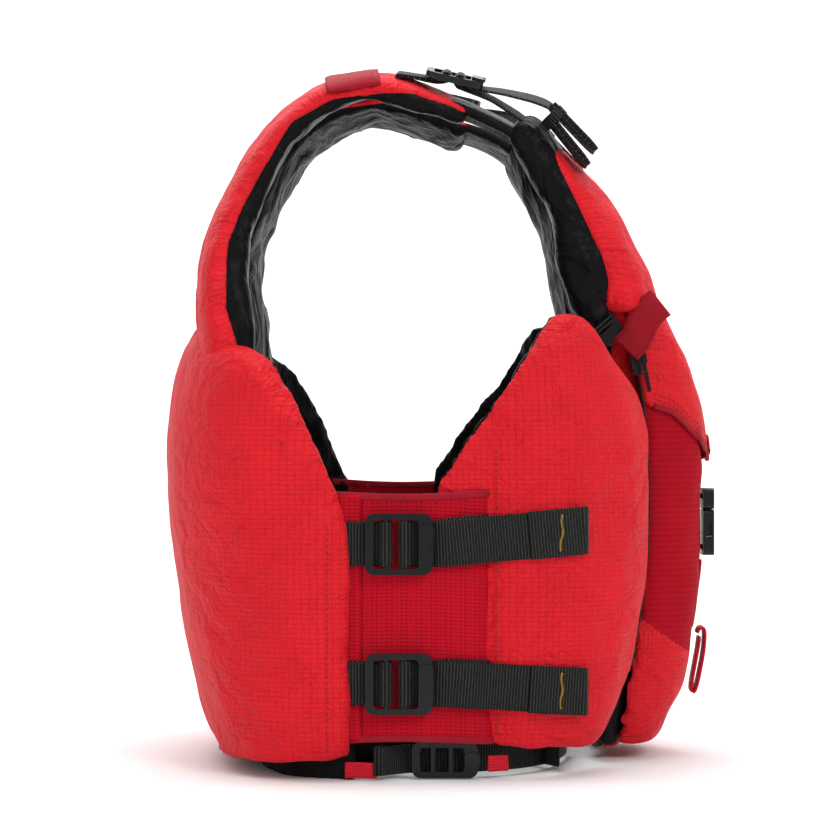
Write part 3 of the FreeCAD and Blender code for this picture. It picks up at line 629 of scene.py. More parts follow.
def stretched(co, reach):
    """Lengthens the ends of a pad, so that it is sewn into its neighbour.

    Each end is a point, a run, a zone and, where it fades out, two heights.
    """
    co = co.copy()
    for point, run, zone, *fade in reach:
        direction = np.array(run, float)
        length = np.linalg.norm(direction)
        past = (co - np.array(point, float)) @ (direction / length)
        share = ramp(past, 0, zone)
        if fade:
            share *= 1 - ramp(co[:, 2], *fade)
        co += share[:, None] * direction
    return co


def wrinkle(mesh, bag, swell):
    """Soft dents all over, and puckers that run in from the seam; the lining is baggier, most of all low down.

    A negative swell only takes from the face that looks back.
    """
    co = points_of(mesh)
    edge = np.empty(len(co))
    mesh.attributes["edge"].data.foreach_get("value", edge)
    lining = ramp(edge, 0, 9 * MM)
    near = np.exp(-np.abs(edge) / (7 * MM))
    soft = ripple(co, 50 * MM, 1) * 1.3 * MM + ripple(co, 22 * MM, 2) * 0.6 * MM
    pucker = ripple(co, 10 * MM, 3) * 0.9 * MM * near
    folds = ripple(co * np.array([1, 1, 0.6]), 24 * MM, 4)
    folds = 0.6 - np.abs(folds) * 1.4
    low = 1 + 1.6 * (1 - ramp(co[:, 2], 0.33, 0.42))
    baggy = (folds * 1.7 + ripple(co, 12 * MM, 5) * 0.3) * MM * lining + bag * lining * low
    normals = normals_of(mesh)
    if swell < 0:
        swell = swell * np.maximum(0, normals[:, 1])
    set_points(mesh, co + normals * (swell + soft + pucker + baggy)[:, None])


def all_pads():
    """Every padded panel and strap."""
    for name, seam, swell in (("back", 3.5 * MM, -5 * MM), ("yoke", 8 * MM, -2 * MM), ("chest", 8 * MM, 0)):
        layers = [f"{name}_{part}" for part in ("liner", "foam", "shell")]
        run = chest_run if name == "chest" else torso_run
        start_pad(f"{name}_panel", layers, layers[0], "jacket", run, seam=seam, from_liner=True, swell=swell,
                  reach=PAD_REACH.get(name, ()))
    for side in SIDES:
        body = "right_wing" if side == "right" else "jacket"
        layers = [f"wing_{part}_{side}" for part in ("liner", "foam", "shell")]
        start_pad(f"wing_panel_{side}", layers, layers[0], body, torso_run, seam=3 * MM, voxel=4 * MM,
                  from_liner=True, reach=PAD_REACH["wing"])
        for strap, bag in (("shoulder", 1 * MM), ("front_strap", 4 * MM)):
            layers = [f"{strap}_{part}_{side}" for part in ("foam", "shell")]
            start_pad(f"{strap}_pad_{side}", layers, layers[1], "jacket", strap_run, seam=STRAP_SEAM[strap],
                      bag=bag, voxel=4 * MM, reach=PAD_REACH[strap], swell=1.5 * MM)
    start_pad("pocket_bag", ["pocket_pouch"], "pocket_flap", "jacket", chest_run, seam=0.5,
              voxel=4 * MM, cap=0.8 * MM, slots=("gusset",), fill=0.5)
    start_pad("belt_pad", ["waist_belt"], "waist_webbing", "jacket", torso_run, seam=0.5,
              voxel=3 * MM, cap=2 * MM, slots=("belt_mesh",), fill=0.8)
    return finish_pads()


# how far each pad runs into its neighbour: a point, the run, and the zone that stretches
PAD_REACH = {
    "back": [((0, 0.105, 0.2), (0, -0.009, 0), 0.03, 0.152, 0.204)],
    "yoke": [((0, 0.17, 0.345), (0, -0.005, -0.022), 0.03)],
    "shoulder": [((0, 0.16, 0.36), (0, -0.004, -0.026), 0.05)],
    "front_strap": [((0, -0.12, 0.36), (0, 0, -0.010), 0.03)],
    "wing": [((0, -0.112, 0.2), (0, -0.0055, 0), 0.022)],
}
# seam between the red face and the lining on the arm side of a strap: y and z in mm, slope towards the neck, arm x
STRAP_SEAM = {
    "shoulder": ([(146, 280), (149, 319), (156, 337), (151, 374), (138, 403), (119, 436), (105, 459), (76, 475),
                  (39, 480), (20, 479), (0, 472), (-28, 460)], 0.19, 0.122),
    "front_strap": ([(-50, 476), (-68, 457), (-79, 439), (-90, 418), (-99, 400), (-108, 379), (-116, 364),
                     (-119, 350), (-117, 338), (-112, 310)], 0.28, 0.108),
}
pads = all_pads()


def recut(pad, slot, inside):
    """Gives the faces whose middle is inside their own cloth."""
    pad.data.materials.append(MAT[slot])
    index = len(pad.data.materials) - 1
    for face in pad.data.polygons:
        if inside(face.center):
            face.material_index = index


# the pocket's foot is plain ripstop, and the hem beside the zipper is lined
recut(pads["pocket_bag"], "ripstop", lambda c: c.z < 0.094 - 0.7 * (-0.16 - c.y))
recut(pads["chest_panel"], "lining", lambda c: c.x < -0.05 and c.z < 0.080 and c.y > -0.158)


# ---- surfaces, patches and webbing ----

def smooth_path(points, step):
    """Places about a step apart on a smooth curve through the given points."""
    pts = [Vector(p) for p in points]
    pts = [2 * pts[0] - pts[1]] + pts + [2 * pts[-1] - pts[-2]]
    out = []
    for a, b, c, d in zip(pts, pts[1:], pts[2:], pts[3:]):
        count = max(1, round((c - b).length / step))
        for i in range(count):
            t = i / count
            out.append(0.5 * (2 * b + (c - a) * t + (2 * a - 5 * b + 4 * c - d) * t * t
                              + (3 * b - 3 * c + d - a) * t ** 3))
    return out + [pts[-2]]


def tube(name, rings, uvs, *slots):
    """A closed tube through rings of points."""
    n = len(rings[0])
    verts = [p for ring in rings for p in ring]
    faces = []
    for i in range(len(rings) - 1):
        for j in range(n):
            k = (j + 1) % n
            faces.append((i * n + j, i * n + k, (i + 1) * n + k, (i + 1) * n + j))
    faces += [tuple(range(n - 1, -1, -1)), tuple(range((len(rings) - 1) * n, len(rings) * n))]
    obj = new_object(name, mesh_from(name, verts, faces), *slots)
    lay_uv(obj.data, uvs)
    return obj


# half a webbing's section: share of the half width, share of the half thickness
SECTION = [(-1, 0), (-0.975, 0.8), (-0.85, 1), (-0.3, 1.04), (0.3, 1.04), (0.85, 1), (0.975, 0.8)]
SECTION += [(-a, -b) for a, b in SECTION]
UNDERSIDE_SHIFT = 3 * MM                # so that the weave of the two faces doesn't line up


def ribbon(name, path, across, width, thick, slot="black_webbing", step=2 * MM, wave=0.0, seed=1):
    """Webbing along a path. across is the direction of its width, one for all or one for each point."""
    centres = smooth_path(path, step)
    if hasattr(across[0], "__len__"):
        sides = smooth_path(across, max(1e-4, step * len(across) / len(path)))
        sides = [sides[min(len(sides) - 1, round(i * (len(sides) - 1) / (len(centres) - 1)))]
                 for i in range(len(centres))]
    else:
        sides = [Vector(across)] * len(centres)
    rings, uvs, run = [], [], 0.0
    for i, c in enumerate(centres):
        ahead = centres[min(i + 1, len(centres) - 1)] - centres[max(i - 1, 0)]
        ahead.normalize()
        side = (sides[i] - ahead * sides[i].dot(ahead)).normalized()
        up = ahead.cross(side)
        if i:
            run += (c - centres[i - 1]).length
        end = 0.75 if i in (0, len(centres) - 1) else 1.0
        lift = wobble(run * 30, seed * 5.1, 0) * wave
        rings.append([c + side * (a * width / 2) + up * (b * end * thick / 2 + lift) for a, b in SECTION])
        uvs += [(a * width / 2 + (UNDERSIDE_SHIFT if b < 0 else 0), run) for a, b in SECTION]
    return tube(name, rings, uvs, slot)


def joined(name, *objects):
    """One object from several, keeping the materials of each."""
    bm = bmesh.new()
    slots = []
    for obj in objects:
        start = len(bm.faces)
        bm.from_mesh(obj.data)
        bm.faces.ensure_lookup_table()
        for f in bm.faces[start:]:
            slot = slot_of(obj.data.materials[f.material_index])
            if slot not in slots:
                slots.append(slot)
            f.material_index = slots.index(slot)
    mesh = written(name, bm)
    for obj in objects:
        bpy.data.objects.remove(obj)
    return new_object(name, mesh, *slots)


def patch(name, point, thick, slot, nu, nv):
    """A sheet with thickness over a grid. point(u, v) gives a place and the outward direction there."""
    grid = [[point(i / nu, j / nv) for j in range(nv + 1)] for i in range(nu + 1)]
    rings, uvs = [], []
    width = 0.0
    for i, row in enumerate(grid):
        if i:
            width += (row[nv // 2][0] - grid[i - 1][nv // 2][0]).length
        height = [0.0]
        for a, b in zip(row, row[1:]):
            height.append(height[-1] + (b[0] - a[0]).length)
        edge = 0.55 if i in (0, nu) else 1.0
        front, back = [], []
        for j, (p, n) in enumerate(row):
            half = thick / 2 * edge * (0.55 if j in (0, nv) else 1.0)
            front.append(p + n * half)
            back.append(p - n * half)
        rings.append(front + back[::-1])
        uvs += [(width, h) for h in height] + [(width, h) for h in height[::-1]]
    obj = tube(name, rings, uvs, slot)
    area = sum(p.area for p in obj.data.polygons) / 2
    return obj, (width, max(height[-1], area / width)), area


STITCH, STITCH_GAP, STITCH_R = 2.6 * MM, 1.4 * MM, 0.38 * MM
STITCH_SECTIONS = ((0, 0.3), (0.2, 0.95), (0.5, 1.15), (0.8, 0.95), (1, 0.3))     # shares of length and radius
STITCH_SIDES = 6


def dashes(name, path, normals):
    """A row of stitches: short raised threads along a path that lies on the cloth."""
    pts, ups = smooth_path(path, 0.5 * MM), smooth_path(normals, 0.5 * MM)
    verts, faces = [], []
    travelled, start = 0.0, 0
    for i in range(1, len(pts)):
        travelled += (pts[i] - pts[i - 1]).length
        if travelled < STITCH + STITCH_GAP:
            continue
        a, b = pts[start], pts[start] + (pts[i] - pts[start]) * (STITCH / (STITCH + STITCH_GAP))
        up = ups[min(len(ups) - 1, round(start * (len(ups) - 1) / max(1, len(pts) - 1)))].normalized()
        side = (b - a).normalized().cross(up).normalized()
        base, turn = len(verts), range(STITCH_SIDES)
        for share, size in STITCH_SECTIONS:
            centre = a + (b - a) * share + up * STITCH_R * 0.3
            for k in turn:
                angle = 2 * pi * k / STITCH_SIDES
                verts.append(centre + (side * cos(angle) + up * sin(angle)) * STITCH_R * size)
        for ring in range(base, len(verts) - STITCH_SIDES, STITCH_SIDES):
            for k in turn:
                n = (k + 1) % STITCH_SIDES
                faces.append((ring + k, ring + n, ring + STITCH_SIDES + n, ring + STITCH_SIDES + k))
        faces += [tuple(base + k for k in reversed(turn)), tuple(len(verts) - STITCH_SIDES + k for k in turn)]
        travelled, start = 0.0, i
    obj = new_object(name, mesh_from(name, verts, faces), "red_thread")
    lay_uv(obj.data, [(0, 0)] * len(verts))
    return obj


def stitches(name, tree, places, towards, body):
    """Stitches dropped onto a surface along a line of places, cast in the direction towards."""
    towards = Vector(towards).normalized()
    path, normals = [], []
    for p in places:
        hit, normal, _, _ = tree.ray_cast(Vector(p), towards)
        if hit is not None:
            path.append(hit)
            normals.append(-normal if normal.dot(towards) > 0 else normal)
    return place(dashes(name, path, normals), body, "red_thread")


# ---- thin cloth made straight from CAD sheets ----

def soft_copy(name, node, slot, run, bevel=0.5 * MM):
    """A CAD sheet on the jacket, with rounded edges and slight unevenness."""
    bm = welded(node)
    bmesh.ops.subdivide_edges(bm, edges=[e for e in bm.edges if e.calc_length() > 6 * MM], cuts=1)
    piece = new_object(name, written(name, bm), slot)
    rounded(piece, bevel, 2, 40)
    apply_modifiers(piece)
    co = points_of(piece.data)
    set_points(piece.data, co + normals_of(piece.data) * (ripple(co, 15 * MM, 6) * 0.5 * MM)[:, None])
    lay_uv(piece.data, run)
    shade_smooth(piece.data)
    return place(piece, "jacket", slot, node)


# ---- side mesh, straps and locks ----

def box_mid(node):
    """Lowest corner, highest corner and middle of a node."""
    lo, hi = (Vector(c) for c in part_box(node))
    return lo, hi, (lo + hi) / 2


WEB = 32 * MM
WEB_T = 1.7 * MM
BAR_A, BAR_B, BAR_UP = 14.5 * MM, 27 * MM, 2.5 * MM     # a side lock's bars, from its rear end and its underside
ROLL = 3.5 * MM                                          # radius of the webbing's middle round a bar
LAYER_1, LAYER_2 = -3.3 * MM, -1.5 * MM                  # heights of the two layers of webbing under a lock


def side_of(side):
    """Which way is out, along x."""
    return -1 if side == "right" else 1


def mesh_side(side):
    """The perforated side panel, its rolled top and bottom edges and the facing strip beside the back panel."""
    s = side_of(side)
    nodes = ["side_mesh_right", "wing_mesh_right"] if side == "right" else ["side_mesh_left"]
    tree = tree_of(*nodes)
    lo, hi, _ = box_mid(nodes[0])
    rear, front = 0.088, -0.036

    def outer(y, z):
        """How far out the CAD panel is, beside its seam gaps too."""
        z = min(max(z, lo.z + 1 * MM), hi.z - 1 * MM)
        y = min(max(y, -0.0305), 0.0875)
        found = []
        for dy in (0, -0.0025, 0.0025, -0.004, 0.004):
            hit = cast(tree, (s * 0.3, y + dy, z), (-s, 0, 0))
            if hit is not None:
                found.append(abs(hit.x))
                if dy == 0:
                    break
        return sum(found) / len(found)

    def sheet_at(y, z, off=0.0):
        x = outer(y, z)
        slope = (outer(y + 0.002, z) - outer(y - 0.002, z)) / 0.004
        n = Vector((s, -slope, 0)).normalized()
        # the panel runs in under the wing, and lies out on the back panel
        tuck = 6 * MM * float(ramp(-y, 0.028, 0.036)) - 4 * MM * float(ramp(y, 0.062, 0.072))
        wavy = wobble(y * 45, z * 26, 3) * 0.9 * MM
        return Vector((s * (x - tuck), y, z)) + n * (off - 0.9 * MM + wavy), n

    def panel(u, v):
        y = rear + u * (front - rear)
        z = lo.z + v * (hi.z - lo.z) - 0.003 * sin(pi * u) * (1 if v > 0.5 else -1) * abs(2 * v - 1) ** 3
        return sheet_at(y, z)

    sheet, flat, area = patch(f"mesh_panel_{side}", panel, 1.5 * MM, "mesh_fabric", 50, 60)
    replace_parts(sheet, *nodes)
    min(area, flat[0] * flat[1])

    def rim(v):
        return [panel(i / 24, v)[0] for i in range(25)]

    edges = [ribbon(f"rim_{v}_{side}", rim(v), (0, 0, 1), 5 * MM, 3 * MM, "red_twill") for v in (0, 1)]
    rims = joined(f"mesh_edges_{side}", *edges)
    for obj in (sheet, rims):
        if side == "right":
            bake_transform(obj, "jacket", "right_wing", (s * 0.178, 0.012, 0.12), (s * 0.178, -0.006, 0.12))
        else:
            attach(obj, "jacket")

    def facing(u, v):
        return sheet_at(0.074 - u * 0.019, lo.z + 0.001 + v * (hi.z - lo.z - 0.002), 1.7 * MM)

    strip, _, _ = patch(f"mesh_facing_{side}", facing, 1.7 * MM, "mesh_fabric", 8, 60)
    place(strip, "jacket", "mesh_fabric")


def lock_place(side, z, x0, y0):
    """A function from the webbing's run in a side lock to a place: along from its rear end, up, and across."""
    s = side_of(side)

    def at(along, up, across=0.0):
        return Vector((s * (x0 + up), y0 - along, z + across))
    return at


def roll(at, bar, start, stop, count=7, radius=ROLL):
    """Places round a bar, by angle from straight forward, in degrees."""
    angles = [radians(start + (stop - start) * i / (count - 1)) for i in range(count)]
    return [at(bar + radius * cos(a), BAR_UP + radius * sin(a)) for a in angles]


def in_lock(obj, side, level, still, moved):
    """Webbing held by a side lock: it stays with the jacket up to y = still, and follows the lock past y = moved."""
    node = f"side_lock_{level}_{side}"
    mid = box_mid(node)[2]
    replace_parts(obj, "side_anchor_webbing" if moved < still else f"side_tails_{side}")
    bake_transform(obj, "jacket", node, (mid.x, still, mid.z), (mid.x, moved, mid.z))


def side_strap(side, level, rise):
    """The webbing of one side strap: the anchor round the rear bar, and the adjusting web with its folded tail."""
    s = side_of(side)
    node = f"side_lock_{level}_{side}"
    lo, hi, mid = box_mid(node)
    at = lock_place(side, mid.z, min(abs(lo.x), abs(hi.x)), hi.y)
    anchor = [at(-24 * MM, -2.6 * MM), at(-12 * MM, LAYER_1), at(2 * MM, LAYER_1), at(10 * MM, LAYER_1 + 0.6 * MM)]
    anchor += roll(at, BAR_A, -70, 200, 9)
    anchor += [at(6.2 * MM, -0.9 * MM), at(0, LAYER_2), at(-14 * MM, LAYER_2 + 0.3 * MM), at(-22 * MM, LAYER_2)]
    anchor = ribbon(f"anchor_{level}_{side}", anchor, (0, 0, 1), WEB - 1.5 * MM, WEB_T)
    in_lock(anchor, side, level, 0.068, 0.050)

    # the tail lies on the wing: its height there is cast onto the finished pad
    tree = surface(pads[f"wing_panel_{side}"])

    def seat(y, z):
        """How far out the tail lies: on the wing's pad, or on the mesh panel behind it."""
        under = 0.1808 - max(0, -0.02 - y) * 0.5
        for dz in (-0.46, -0.2, 0.1, 0.46):
            hit = cast(tree, (s * 0.3, y, z + dz * WEB), (-s, 0, 0))
            if hit is not None:
                under = max(under, abs(hit.x))
        return under

    rear_y, end_y, count = -1 * MM, -100 * MM, 18

    def line(y):
        """Height of the tail's middle."""
        return mid.z + rise * (rear_y - y) / (rear_y - end_y)

    ys = [rear_y - i * (rear_y - end_y) / count for i in range(count + 1)]
    heights = [seat(y, line(y)) for y in ys]
    for _ in range(2):
        heights = [max(h, (heights[max(0, i - 1)] + heights[min(count, i + 1)]) / 2) for i, h in enumerate(heights)]

    # the loop round the front bar follows the lock
    low_end, high_end = at(48 * MM, LAYER_1 + 0.2 * MM), at(47 * MM, LAYER_2)
    loop = [low_end, at(40 * MM, LAYER_1), at(31 * MM, LAYER_1), at(25.5 * MM, LAYER_1 + 0.6 * MM)]
    loop += roll(at, BAR_B, 205, -20, 9) + [at(33.5 * MM, -0.6 * MM), at(39 * MM, LAYER_2), high_end]
    loop = ribbon(f"loop_{level}_{side}", loop, (0, 0, 1), WEB, WEB_T)
    in_lock(loop, side, level, 0.005, 0.021)

    # below it the fixed end, sewn under the wing's edge; above it the tail, folded and sewn at its end
    fixed = [Vector((s * (h + 0.2 * MM), y, line(y) + 1.6 * MM)) for y, h in zip(ys[1:6], heights[1:6])]
    fixed.append(Vector((s * (heights[6] - 3 * MM), ys[6], line(ys[6]) + 2 * MM)))
    fixed = ribbon("fixed", fixed[::-1] + [low_end], (0, 0, 1), WEB, WEB_T)
    tail = [Vector((s * (h + 2.0 * MM), y, line(y))) for y, h in zip(ys[1:], heights[1:])]
    upper = ribbon("upper", [high_end] + tail, (0, 0, 1), WEB, WEB_T, seed=2)
    outer_fold = [p + Vector((s * 1.8 * MM, 0, 0)) for p in tail[10:]]
    folded = outer_fold + [tail[-1] + Vector((s * 0.9 * MM, -1.6 * MM, 0)), tail[-1] + Vector((0, 0.4 * MM, 0))]
    folded = ribbon("folded", folded, (0, 0, 1), WEB + 1.2 * MM, WEB_T, seed=4)
    tack_at = outer_fold[4] + Vector((s * 1.1 * MM, 0, 0))
    slant = Vector((0, -0.05, 1)).normalized()
    zigzag = []
    for i in range(41):
        swing = 0.9 * MM * (-1 if i % 2 else 1) + 0.7 * MM * sin(i * 0.23)
        zigzag.append(tack_at + slant * ((i / 40 - 0.5) * 25 * MM) + Vector((0, swing, 0)))
    thread = ribbon("tack", zigzag, (0, 1, 0.6), 0.5 * MM, 0.45 * MM, "thread", step=0.9 * MM)
    return [fixed, upper, folded], thread


def side_straps(side):
    """Both side straps of one side; on the right, the tails cross onto the wing."""
    made = [side_strap(side, level, rise) for level, rise in (("upper", 9 * MM), ("lower", -7 * MM))]
    s = side_of(side)
    webbing = joined(f"side_webbing_{side}", *(piece for row in made for piece in row[0]))
    threads = joined(f"side_bartacks_{side}", *(row[1] for row in made))
    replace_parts(webbing, f"side_tails_{side}")
    if side == "right":
        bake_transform(webbing, "jacket", "right_wing", (s * 0.182, 0.006, 0.12), (s * 0.182, -0.012, 0.12))
        place(threads, "right_wing", "thread")
    else:
        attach(webbing, "jacket")
        place(threads, "jacket", "thread")


def side_rows(side):
    """An upright row of stitches on the wing's rear edge, and one on the back panel's front edge."""
    s = side_of(side)
    for pad, y, low, top in ((f"wing_panel_{side}", -0.0385, 0.03, 0.232), ("back_panel", 0.078, 0.02, 0.18)):
        body = "right_wing" if pad == "wing_panel_right" else "jacket"
        row = [(s * 0.3, y, low + (top - low) * i / 60) for i in range(61)]
        stitches(f"{pad}_stitch_{side}", surface(pads[pad]), row, (-s, 0, 0), body)


for side_name in SIDES:
    mesh_side(side_name)
    side_straps(side_name)
    side_rows(side_name)


# ---- shoulders ----

SHOULDER_LOCK_AT = Vector((-0.089, 0.010, 0.4965))
SHOULDER_LOCK_RUN = Vector((0, -43, -10)).normalized()
SHOULDER_LOCK_UP = Vector((-0.2, 0, 1))
SHOULDER_WEB = 25 * MM
SHOULDER_BAR_B = 24.65 * MM


def flipped(v, s):
    """The same place on the other side for the wearer's left."""
    return Vector((v.x * -s, v.y, v.z))


def shoulder(side):
    """The webbing through a shoulder lock, the black bridge below it, the tail bundle and the lash sleeve."""
    s = side_of(side)
    run = SHOULDER_LOCK_RUN
    up = (SHOULDER_LOCK_UP - run * SHOULDER_LOCK_UP.dot(run)).normalized()
    across = flipped(up.cross(run), s)

    def at(along, height):
        return flipped(SHOULDER_LOCK_AT + run * along + up * height, s)

    def places(*points):
        """Places given in mm for the right side."""
        return [flipped(Vector(p) * MM, s) for p in points]

    eye = [at(-21 * MM, -4.6 * MM), at(-8 * MM, LAYER_1), at(2 * MM, LAYER_1), at(10 * MM, LAYER_1 + 0.6 * MM)]
    eye += roll(at, BAR_A, -70, 200, 9)
    eye += [at(6.2 * MM, -0.9 * MM), at(0, LAYER_2), at(-14 * MM, -2.6 * MM), at(-20 * MM, -3.2 * MM)]
    eye = ribbon("eye", eye, across, SHOULDER_WEB, WEB_T)
    low = places((-86, -70, 455), (-86.5, -60, 465), (-87.5, -48, 473), (-88, -36, 480))
    high = places((-88, -44, 484.5), (-88, -56, 482), (-88, -68, 479), (-88, -78, 475), (-88, -84, 470))
    inside = [at(30 * MM, LAYER_1), at(24 * MM, LAYER_1 + 1 * MM)] + roll(at, SHOULDER_BAR_B, 215, -20, 9)
    inside += [at(31 * MM, -0.4 * MM), at(36 * MM, -1.2 * MM)]
    twisted = flipped(Vector((-1, 0, -0.36)), s).normalized()
    if twisted.dot(across) < 0:
        twisted = -twisted
    turns = [twisted] * len(low) + [across] * len(inside) + [twisted] * len(high)
    adjuster = ribbon("adjuster", low + inside + high, turns, SHOULDER_WEB, 2 * MM, seed=2)
    for obj, still, moved in ((eye, -14 * MM, 1 * MM), (adjuster, 44 * MM, 28 * MM)):
        obj.name = f"shoulder_{obj.name}_{side}"
        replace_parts(obj, "shoulder_webbing")
        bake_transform(obj, "jacket", f"shoulder_lock_{side}", at(still, 0), at(moved, 0))

    # a wide lining bridge joins the two padded straps under the lock
    bridge = places((-89, 2, 479), (-88.5, -16, 473), (-88, -32, 467), (-87, -48, 459), (-86, -60, 450))
    bridge = ribbon(f"strap_bridge_{side}", bridge, across, 40 * MM, 7 * MM, "lining", wave=1.5 * MM)
    place(bridge, "jacket", "lining")

    # the tail is folded into two thick prongs with a wrap round their root
    prongs = []
    for ends in (((-88, -80.5, 474.5), (-88, -112, 441.5)), ((-88, -79, 465), (-88, -106.5, 431))):
        first, last = places(*ends)
        run_dir = (last - first).normalized()
        off = Vector((0, -run_dir.z, run_dir.y)) * 1.35 * MM
        for k in (-1, 1):
            path = [first + (last - first) * i / 6 + off * k - Vector((k * 0.3 * MM * sin(i), 0, 0))
                    for i in range(7)]
            path[-1] = path[-1] - off * k * 0.4
            prongs.append(ribbon("prong", path, (1, 0, 0.05 * s), SHOULDER_WEB - 1 * MM, 2.6 * MM, seed=3 + k,
                                 wave=0.3 * MM))
    root, = places((-88, -83, 466))
    along, out_dir = Vector((0, -0.67, -0.74)), Vector((0, -0.74, 0.67))
    turn = [2 * pi * i / 12 for i in range(13)]
    wrap = [root + Vector((13.4 * MM * cos(a), 0, 0)) + out_dir * (8.4 * MM * sin(a) - 0.6 * MM) for a in turn]
    wrap = ribbon("wrap", wrap, along, 8 * MM, 2 * MM, seed=5)
    place(joined(f"tail_bundle_{side}", *prongs, wrap), f"shoulder_tail_{side}", "black_webbing",
          f"shoulder_tail_{side}")

    # lash sleeve: a twill band wrapped over the padded strap, with a grey reflective end
    tree = surface(pads[f"shoulder_pad_{side}"])
    rear, front = places((-89, 80, 479.5), (-89, 42, 486))
    line = (front - rear).normalized()
    top = Vector((0, -line.z, line.y))
    if top.z < 0:
        top = -top
    away = Vector((s, 0, 0))

    def wrapped(first, last, thick_off):
        """A band over the pad between two shares of the sleeve's length."""
        def point(u, v):
            c = rear + (front - rear) * (first + (last - first) * v)
            angle = radians(-74 + 164 * u)
            ray = away * sin(angle) + top * cos(angle)
            hit, normal, _, _ = tree.ray_cast(c + ray * 0.07, -ray)
            if hit is None:
                hit, normal = c + ray * 0.02, ray
            if normal.dot(ray) < 0:
                normal = -normal
            n = (normal + ray).normalized()
            return hit + n * (thick_off + 0.5 * MM * (0.5 + noise.noise(hit * 60))), n
        return point

    sleeve, _, _ = patch("sleeve", wrapped(0, 0.9, 2.6 * MM), 1.8 * MM, "red_twill", 40, 14)
    grey, _, _ = patch("grey", wrapped(0.86, 1, 2.2 * MM), 1.6 * MM, "reflective", 40, 4)
    place(joined(f"lash_sleeve_{side}", sleeve, grey), "jacket", "red_twill", "lash_sleeves")


for side_name in SIDES:
    shoulder(side_name)


# ---- zipper surroundings, tab and pocket ----

def chest_tab():
    """The stitched pull tab above the zipper: twill folded double, its corners a little curled."""
    mid = box_mid("chest_tab")[2]
    bends = [(-134.6, 298.6, -1.4), (-138, 302.2, -2.9), (-142.6, 307.5, -5), (-145.6, 315.5, -7),
             (-148.6, 321.8, -9), (-153.6, 327.6, -11), (-158.9, 332, -12)]
    path = [Vector((mid.x + lift * MM, y * MM, z * MM)) for y, z, lift in bends]
    line = (path[-1] - path[0]).normalized()
    across = Vector((0, -line.z, line.y))
    outer = ribbon("outer", path, across, 22 * MM, 1.3 * MM, "red_twill", wave=0.6 * MM)
    inner = [p + Vector((1.7 * MM, 0, 0)) - across * 1.5 * MM for p in path]
    inner = ribbon("inner", inner, across, 22 * MM, 1.3 * MM, wave=0.8 * MM, seed=7)
    rows = [outer, inner]
    for edge in (-9.3, 9.3):
        line_at = [p + across * (edge * MM) + Vector((-0.9 * MM, 0, 0)) for p in path]
        rows.append(dashes("row", line_at, [Vector((-1, 0, 0))] * len(path)))
    place(joined("pull_tab", *rows), "chest_tab", "red_twill", "chest_tab")


chest_tab()


def pocket():
    """The flap with its piped edge, the webbing, and the folded tail below the buckle."""
    flap = soft_copy("pocket_flap_cover", "pocket_flap", "ripstop", chest_run, bevel=0.8 * MM)
    co = points_of(flap.data)
    low_part = 1 - ramp(co[:, 2], 0.262, 0.292)
    corner = ramp(-co[:, 1], 0.148, 0.184) * (1 - ramp(0.062 - np.abs(co[:, 0]), 0, 0.05))
    co[:, 2] -= 0.015 * low_part * corner
    set_points(flap.data, co + normals_of(flap.data) * 1.2 * MM + np.array([0, -1.2 * MM, 0]))
    tree = surface(flap)
    lo, hi, _ = box_mid("pocket_flap")
    # the flap's lower edge, found by going down its front until a ray misses it
    edge = []
    for i in range(0, 61, 3):
        x = lo.x + 3.4 * MM + (hi.x - lo.x - 6.8 * MM) * i / 60
        z, found = 0.3, None
        while z > 0.2:
            hit = cast(tree, (x, -0.4, z), (0, 1, 0))
            if hit is None:
                break
            found = hit
            z -= 0.8 * MM
        if found is not None:
            edge.append(found + Vector((0, -0.3 * MM, 0)))
    rows = [ribbon("piping", edge, (0, 0.25, 1), 4.2 * MM, 2.6 * MM, "red_twill")]
    for lift in (5, 9):
        rows.append(dashes("row", [p + Vector((0, 0, lift * MM)) for p in edge], [Vector((0, -1, 0))] * len(edge)))
    for height in (0.3045, 0.2985):
        for s in (-1, 1):
            found = [cast(tree, (s * 0.3, -0.138 - i * 0.0026, height + i * 0.0002), (-s, 0, 0)) for i in range(12)]
            found = [hit for hit in found if hit is not None]
            if len(found) > 2:
                rows.append(dashes("row", found, [Vector((s, 0, 0))] * len(found)))
    place(joined("flap_piping", *rows), "jacket", "red_twill")

    strands = []
    for name, under, low, high in (("low", surface(pads["pocket_bag"]), 0.0935, 0.1436), ("up", tree, 0.199, 0.237)):
        path = []
        for i in range(9):
            z = low + (high - low) * i / 8
            hit = cast(under, (0, -0.4, z), (0, 1, 0))
            y = hit.y if hit is not None else (path[-1].y if path else -0.19)
            path.append(Vector((0, y - 1 * MM, z)))
        strands.append(ribbon(name, path, (1, 0, 0), 20 * MM, 1.5 * MM, "red_webbing"))
    place(joined("pocket_straps", *strands), "jacket", "red_webbing", "pocket_webbing")
    loop = [(-0.1935, 0.0885), (-0.1955, 0.0925), (-0.1985, 0.0918), (-0.1992, 0.086), (-0.1983, 0.075),
            (-0.1958, 0.061), (-0.1935, 0.0505), (-0.1912, 0.0445), (-0.1892, 0.0455), (-0.1894, 0.0515),
            (-0.1916, 0.064), (-0.194, 0.077), (-0.1952, 0.086)]
    tail = ribbon("pocket_tail_loop", [Vector((0, y, z)) for y, z in loop], (1, 0, 0), 19 * MM, 2.3 * MM,
                  "red_webbing")
    place(tail, "pocket_tail", "red_webbing", "pocket_tail")


pocket()


# ---- waist ----

